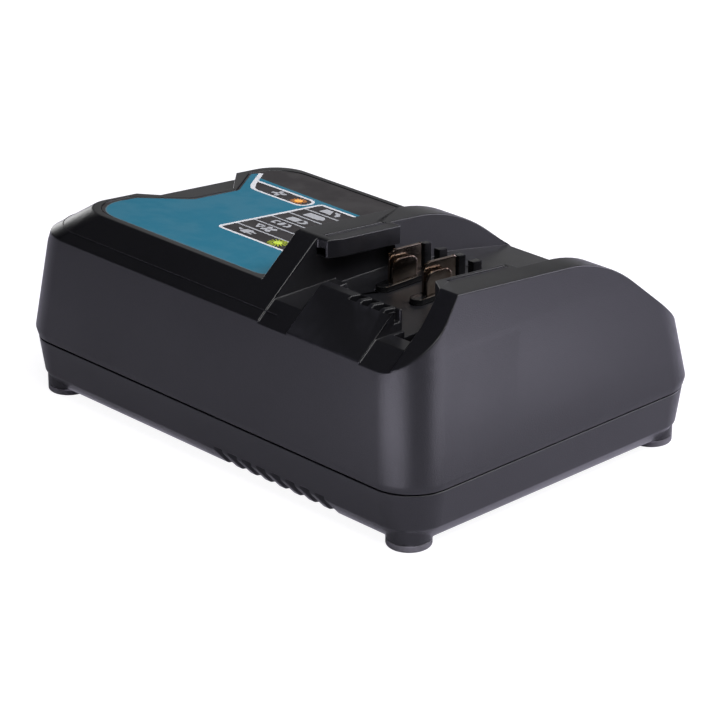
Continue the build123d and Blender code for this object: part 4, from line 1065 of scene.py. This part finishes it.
@dataclass
class LabelSheet:
    """The printed sheet on the tilted plateau, its symbols and its two lamps, in millimetres."""

    sheet_edge: float = 0.1 * MM
    height: float = 62.552
    base_ink: float = 0.03
    top_ink: float = 0.05
    field: tuple[Corner, ...] = (
        (12.4, -50.6, 4.5), (12.4, 19.9, 0.0), (-30.0, 20.6, 0.0), (-70.3, 21.8, 0.0),
        (-74.4, 26.0, 0.3), (-76.4, 23.1, 2.0), (-63.3, 5.6, 3.8), (-63.3, -14.8, 3.6),
        (-75.3, -30.5, 4.0), (-75.3, -50.6, 13.6),
    )
    # outline of the pale strip along the sheet's edge, which is a painted highlight
    edge: tuple[Corner, ...] = (
        (12.8, 19.9, 0.0), (12.4, 19.9, 0.0), (12.4, -50.6, 4.5), (-75.3, -50.6, 13.6),
        (-75.3, -36.5, 0.0), (-75.7, -36.5, 0.0), (-75.7, -51.0, 14.0), (12.8, -51.0, 4.9),
    )
    table: tuple[Corner, ...] = (
        (-36.4, -28.7, 2.4), (8.8, -28.7, 2.0), (8.8, 18.5, 2.0), (-35.5, 18.5, 1.9),
    )
    table_hole: tuple[Corner, ...] = (
        (-35.1, -27.6, 1.4), (7.7, -27.6, 1.0), (7.7, 17.3, 1.0), (-34.3, 17.3, 0.8),
    )
    table_lines: tuple[float, ...] = (10.1, 2.6, -5.1, -12.7, -20.2)
    line_width: float = 0.8
    alarm: tuple[Corner, ...] = (
        (-62.2, 10.9, 0.0), (-60.6, 10.2, 0.0), (-37.0, 10.2, 3.4), (-36.9, 19.3, 4.4),
        (-69.3, 19.3, 0.0),
    )
    alarm_hole: tuple[Corner, ...] = (
        (-61.6, 11.3, 0.0), (-38.0, 11.3, 2.4), (-38.0, 18.1, 3.2), (-68.0, 18.1, 0.0),
    )
    bracket: tuple[Corner, ...] = (
        (-75.3, 25.5, 0.2), (-66.4, 13.6, 3.0), (-63.2, 10.7, 3.0), (-60.2, 10.2, 0.0),
        (-59.9, 11.4, 0.0), (-62.6, 12.0, 3.0), (-65.0, 14.6, 3.0), (-74.1, 26.6, 0.2),
    )
    charge_lamp: Point = (-10.9, -23.9)
    alarm_lamp: Point = (-42.6, 14.4)
    lens_radius: float = 1.55
    lens_rise: float = 0.16
    mask_radius: float = 2.75
    ray_gap: float = 0.2
    ray_width: float = 0.5

    def build(self) -> None:
        """Print the label and set its lamps."""
        remake("label_overlay", "label_sheet", Paint.FILM, self.sheet_edge, 2, 40.0)
        self.ground()
        self.borders()
        self.symbols()
        self.lamp("charge", self.charge_lamp, Paint.GREEN_LENS, "ink_green", 17, 3.7)
        self.lamp("alarm", self.alarm_lamp, Paint.ORANGE_LENS, "ink_orange", 15, 3.0)

    def lay(self, piece: Piece, paint: str) -> Piece:
        """Lay a flat piece on the tilted sheet and dress it.

        Args:
            piece: The piece, modelled flat on z = 0.
            paint: The name of its material.

        Returns:
            The same piece.
        """
        return dress(tip(piece, PLATEAU_TILT, self.height), Rack.get(paint))

    def ground(self) -> None:
        """Print the teal field, and paint a pale teal highlight line along the sheet's edge."""
        field_plate = plate("print_field", (self.field, self.table, self.alarm), self.base_ink)
        self.lay(field_plate, "ink_teal")
        # a pale teal strip along the sheet's right end and near edge: a painted highlight on the
        # film's edge
        edge = plate("painted_edge_highlight_strip", (self.edge,), self.base_ink)
        self.lay(edge, "painted_edge_highlight")

    def borders(self) -> None:
        """Print the white borders, the bracket and the grey lines of the table."""
        parts = [
            plate("print_table", (self.table, self.table_hole), self.top_ink),
            plate("print_alarm", (self.alarm, self.alarm_hole), self.top_ink),
            plate("print_bracket", (self.bracket,), self.top_ink + 0.01),
        ]
        self.lay(join("print_borders", parts), "ink_white")
        half = self.line_width / 2
        left, right = self.table_hole[0][0], self.table_hole[1][0]
        rules = [bar(left, y - half, right, y + half) for y in self.table_lines]
        lines = [plate("line", (rule,), self.base_ink) for rule in rules]
        self.lay(join("print_lines", lines), "ink_grey")

    def symbols(self) -> None:
        """Print the plug, the fans, the batteries and the signs beside them."""
        shapes = list(SYMBOLS)
        shapes += [(petal(TABLE_FAN, 0.45, 2.9, 1.9, angle),) for angle in range(35, 360, 90)]
        shapes += [(petal(ALARM_FAN, 0.4, 2.9, 1.5, angle),) for angle in range(20, 360, 90)]
        parts = [plate("symbol", outlines, self.top_ink) for outlines in shapes]
        self.lay(join("print_symbols", parts), "ink_grey")

    def lamp(self, name: str, place: Point, lens: Paint, ink: str, rays: int, reach: float) -> None:
        """Set one lamp: a dark ring, a burst of rays and a small domed lens.

        Args:
            name: The lamp's name.
            place: Its centre in plan.
            lens: The finish of its lens.
            ink: The ink of its rays.
            rays: How many rays it has.
            reach: How far the rays reach from the centre.
        """
        ring = (disc(place, self.mask_radius), disc(place, self.lens_radius))
        self.lay(plate(name + "_lamp_mask", ring, self.base_ink), "label_film")
        near = self.lens_radius + self.ray_gap
        burst = []
        for index in range(rays):
            ray = petal(place, near, reach, self.ray_width, 360.0 * index / rays)
            burst.append(plate("ray", (ray,), self.top_ink))
        self.lay(join(name + "_lamp_rays", burst), ink)
        bpy.ops.mesh.primitive_cylinder_add(
            vertices=40,
            radius=self.lens_radius * MM,
            depth=self.lens_rise * MM,
            location=(place[0] * MM, place[1] * MM, self.lens_rise * MM / 2),
        )
        dome = settle(name_new(name + "_lamp_lens"))
        mark_faces(dome, lambda centre, normal: normal.z > 0.9)
        bpy.ops.mesh.bevel(offset=self.lens_rise * 0.8 * MM, segments=4, affect="EDGES")
        bpy.ops.object.mode_set(mode="OBJECT")
        smooth(dome, 60.0)
        self.lay(dome, lens.value)


@dataclass
class Terminals:
    """The black block in the bay floor and the two plated blades."""

    block_edge: float = 0.25 * MM
    blade_edge: float = 0.26 * MM

    def build(self) -> None:
        """Make the block and the blades and dress them."""
        remake("terminal_block", "terminal_moulding", Paint.BLOCK, self.block_edge, 2, 30.0)
        for node in ("terminal_positive", "terminal_negative"):
            remake(node, node + "_blade", Paint.TERMINAL, self.blade_edge, 2, 30.0)


@dataclass
class Insides:
    """Every CAD node that keeps its own shape: it only gets its material."""

    def build(self) -> None:
        """Give each node the material of its record slot."""
        slots = {part["node"]: part["material_slot"] for part in frame["record"]["subparts"]}
        for node, piece in frame["nodes"].items():
            piece.data.materials.clear()
            piece.data.materials.append(Rack.get(slots[node]))


# ---------------------------------------------------------------- studio
AIM = Vector((0.0, 0.0, 40 * MM))
LYING_HEIGHT = 2 * MM


@dataclass(frozen=True)
class Lamp:
    """One soft lamp: where it stands as seen from the charger, its face and its brightness."""

    name: str
    azimuth: float
    elevation: float
    distance: float
    width: float
    height: float
    glow: float
    lying: bool = False
    colour: Colour = WHITE

    def place(self) -> Vector:
        """Return the middle of the lamp's face."""
        level = self.distance * cos(radians(self.elevation))
        side = radians(self.azimuth)
        rise = LYING_HEIGHT if self.lying else self.distance * sin(radians(self.elevation))
        return Vector((level * cos(side), level * sin(side), rise))

    def hang(self) -> None:
        """Hang the lamp so that it faces the charger, or lay it on the floor facing up."""
        data = bpy.data.lights.new(self.name, "AREA")
        data.shape = "RECTANGLE"
        data.size = self.width
        data.size_y = self.height
        data.energy = self.glow * pi * self.width * self.height
        data.color = self.colour
        lamp = bpy.data.objects.new(self.name, data)
        bpy.context.scene.collection.objects.link(lamp)
        lamp.location = self.place()
        if self.lying:
            lamp.rotation_euler = (pi, 0.0, radians(90.0 + self.azimuth))
        else:
            line = AIM - self.place()
            lamp.rotation_euler = line.to_track_quat("-Z", "Y").to_euler()
        lamp.visible_camera = False


@dataclass
class Studio:
    """The pale floor, the soft lamps and the camera."""

    camera_place: tuple[float, float, float] = (0.6602, -0.6292, 0.4050)
    azimuth: float = -43.75
    elevation: float = 22.92
    focal: float = 147.5
    floor_reach: float = 6.0
    floor_paper: float = 0.62
    floor_glow: float = 0.085
    backdrop_share: float = 0.6
    backdrop_glow: float = 1.5
    sky_glow: float = 0.04
    lamps: tuple[Lamp, ...] = (
        Lamp("under_panel", 0, 0, 0.0, 0.124, 0.18, 0.7, True, COOL),
        Lamp("corner_panel", -70, 0, 0.315, 0.20, 0.27, 4.6, True, COOL),
        Lamp("front_panel", 3, 0, 0.325, 0.12, 0.25, 3.5, True, COOL),
        Lamp("middle_panel", 18, 0, 0.325, 0.12, 0.25, 1.8, True, COOL),
        Lamp("side_panel", 36, 0, 0.36, 0.20, 0.28, 0.2, True, COOL),
        Lamp("side_lamp", 70, 22, 1.0, 0.40, 0.55, 5.6, False, COOL),
        Lamp("trough_lamp", 43, 12, 1.0, 0.40, 0.28, 0.9, False, COOL),
        Lamp("rear_lamp", 136, 22, 1.0, 0.40, 0.45, 0.30),
        Lamp("far_lamp", 132, 5, 1.0, 0.50, 0.16, 0.40),
        Lamp("back_lamp", 165, 9, 0.8, 0.24, 0.24, 3.0),
        Lamp("high_lamp", 44, 52, 1.1, 0.60, 0.60, 6.0),
        Lamp("edge_lamp", -32, 54, 1.1, 0.45, 0.45, 9.5),
        Lamp("top_lamp", 40, 82, 1.2, 0.50, 0.50, 1.5),
    )

    def build(self) -> None:
        """Set up the floor, the sky, the lamps and the camera."""
        self.floor()
        self.sky()
        for lamp in self.lamps:
            lamp.hang()
        self.camera()
        bpy.context.scene.view_settings.view_transform = "Standard"

    def floor(self) -> None:
        """Lay a pale floor that looks white and keeps the shadow."""
        bpy.ops.mesh.primitive_plane_add(size=2 * self.floor_reach, location=(0, 0, 0))
        floor = name_new("floor")
        paper = Shader(
            "floor_paper",
            shade(COOL, self.floor_paper),
            1.0,
            Specular_IOR_Level=0.0,
            Emission_Color=(*COOL, 1.0),
            Emission_Strength=self.floor_glow,
        )
        backdrop = paper.nodes.new("ShaderNodeEmission")
        backdrop.inputs["Strength"].default_value = self.backdrop_glow
        path = paper.nodes.new("ShaderNodeLightPath")
        share = paper.math("MULTIPLY", path.outputs["Is Camera Ray"], self.backdrop_share)
        blend = paper.nodes.new("ShaderNodeMixShader")
        for index, source in enumerate((share, paper.main.outputs[0], backdrop.outputs[0])):
            paper.links.new(source, blend.inputs[index])
        surface = paper.nodes["Material Output"].inputs["Surface"]
        paper.links.new(blend.outputs[0], surface)
        floor.data.materials.append(paper.material)

    def sky(self) -> None:
        """Make a dim world that looks white to the camera."""
        world = bpy.data.worlds.new("studio")
        bpy.context.scene.world = world
        world.use_nodes = True
        nodes = world.node_tree.nodes
        path = nodes.new("ShaderNodeLightPath")
        brighter = nodes.new("ShaderNodeMath")
        brighter.operation = "MAXIMUM"
        brighter.inputs[1].default_value = self.sky_glow
        world.node_tree.links.new(path.outputs["Is Camera Ray"], brighter.inputs[0])
        world.node_tree.links.new(brighter.outputs[0], nodes["Background"].inputs["Strength"])

    def camera(self) -> None:
        """Place the camera and make it the scene's own."""
        data = bpy.data.cameras.new("camera")
        data.lens = self.focal
        data.sensor_width = 36.0
        data.clip_end = 20.0
        camera = bpy.data.objects.new("camera", data)
        bpy.context.scene.collection.objects.link(camera)
        camera.location = self.camera_place
        camera.rotation_euler = (radians(90.0 - self.elevation), 0.0, radians(90.0 + self.azimuth))
        bpy.context.scene.camera = camera


def main() -> None:
    """Build the charger piece by piece and light it."""
    logging.basicConfig(level=logging.INFO, format="%(name)s: %(message)s")
    Rack.fill()
    Insides().build()
    Casing().build()
    LabelSheet().build()
    Terminals().build()
    Studio().build()


if __name__ == "__main__":
    main()
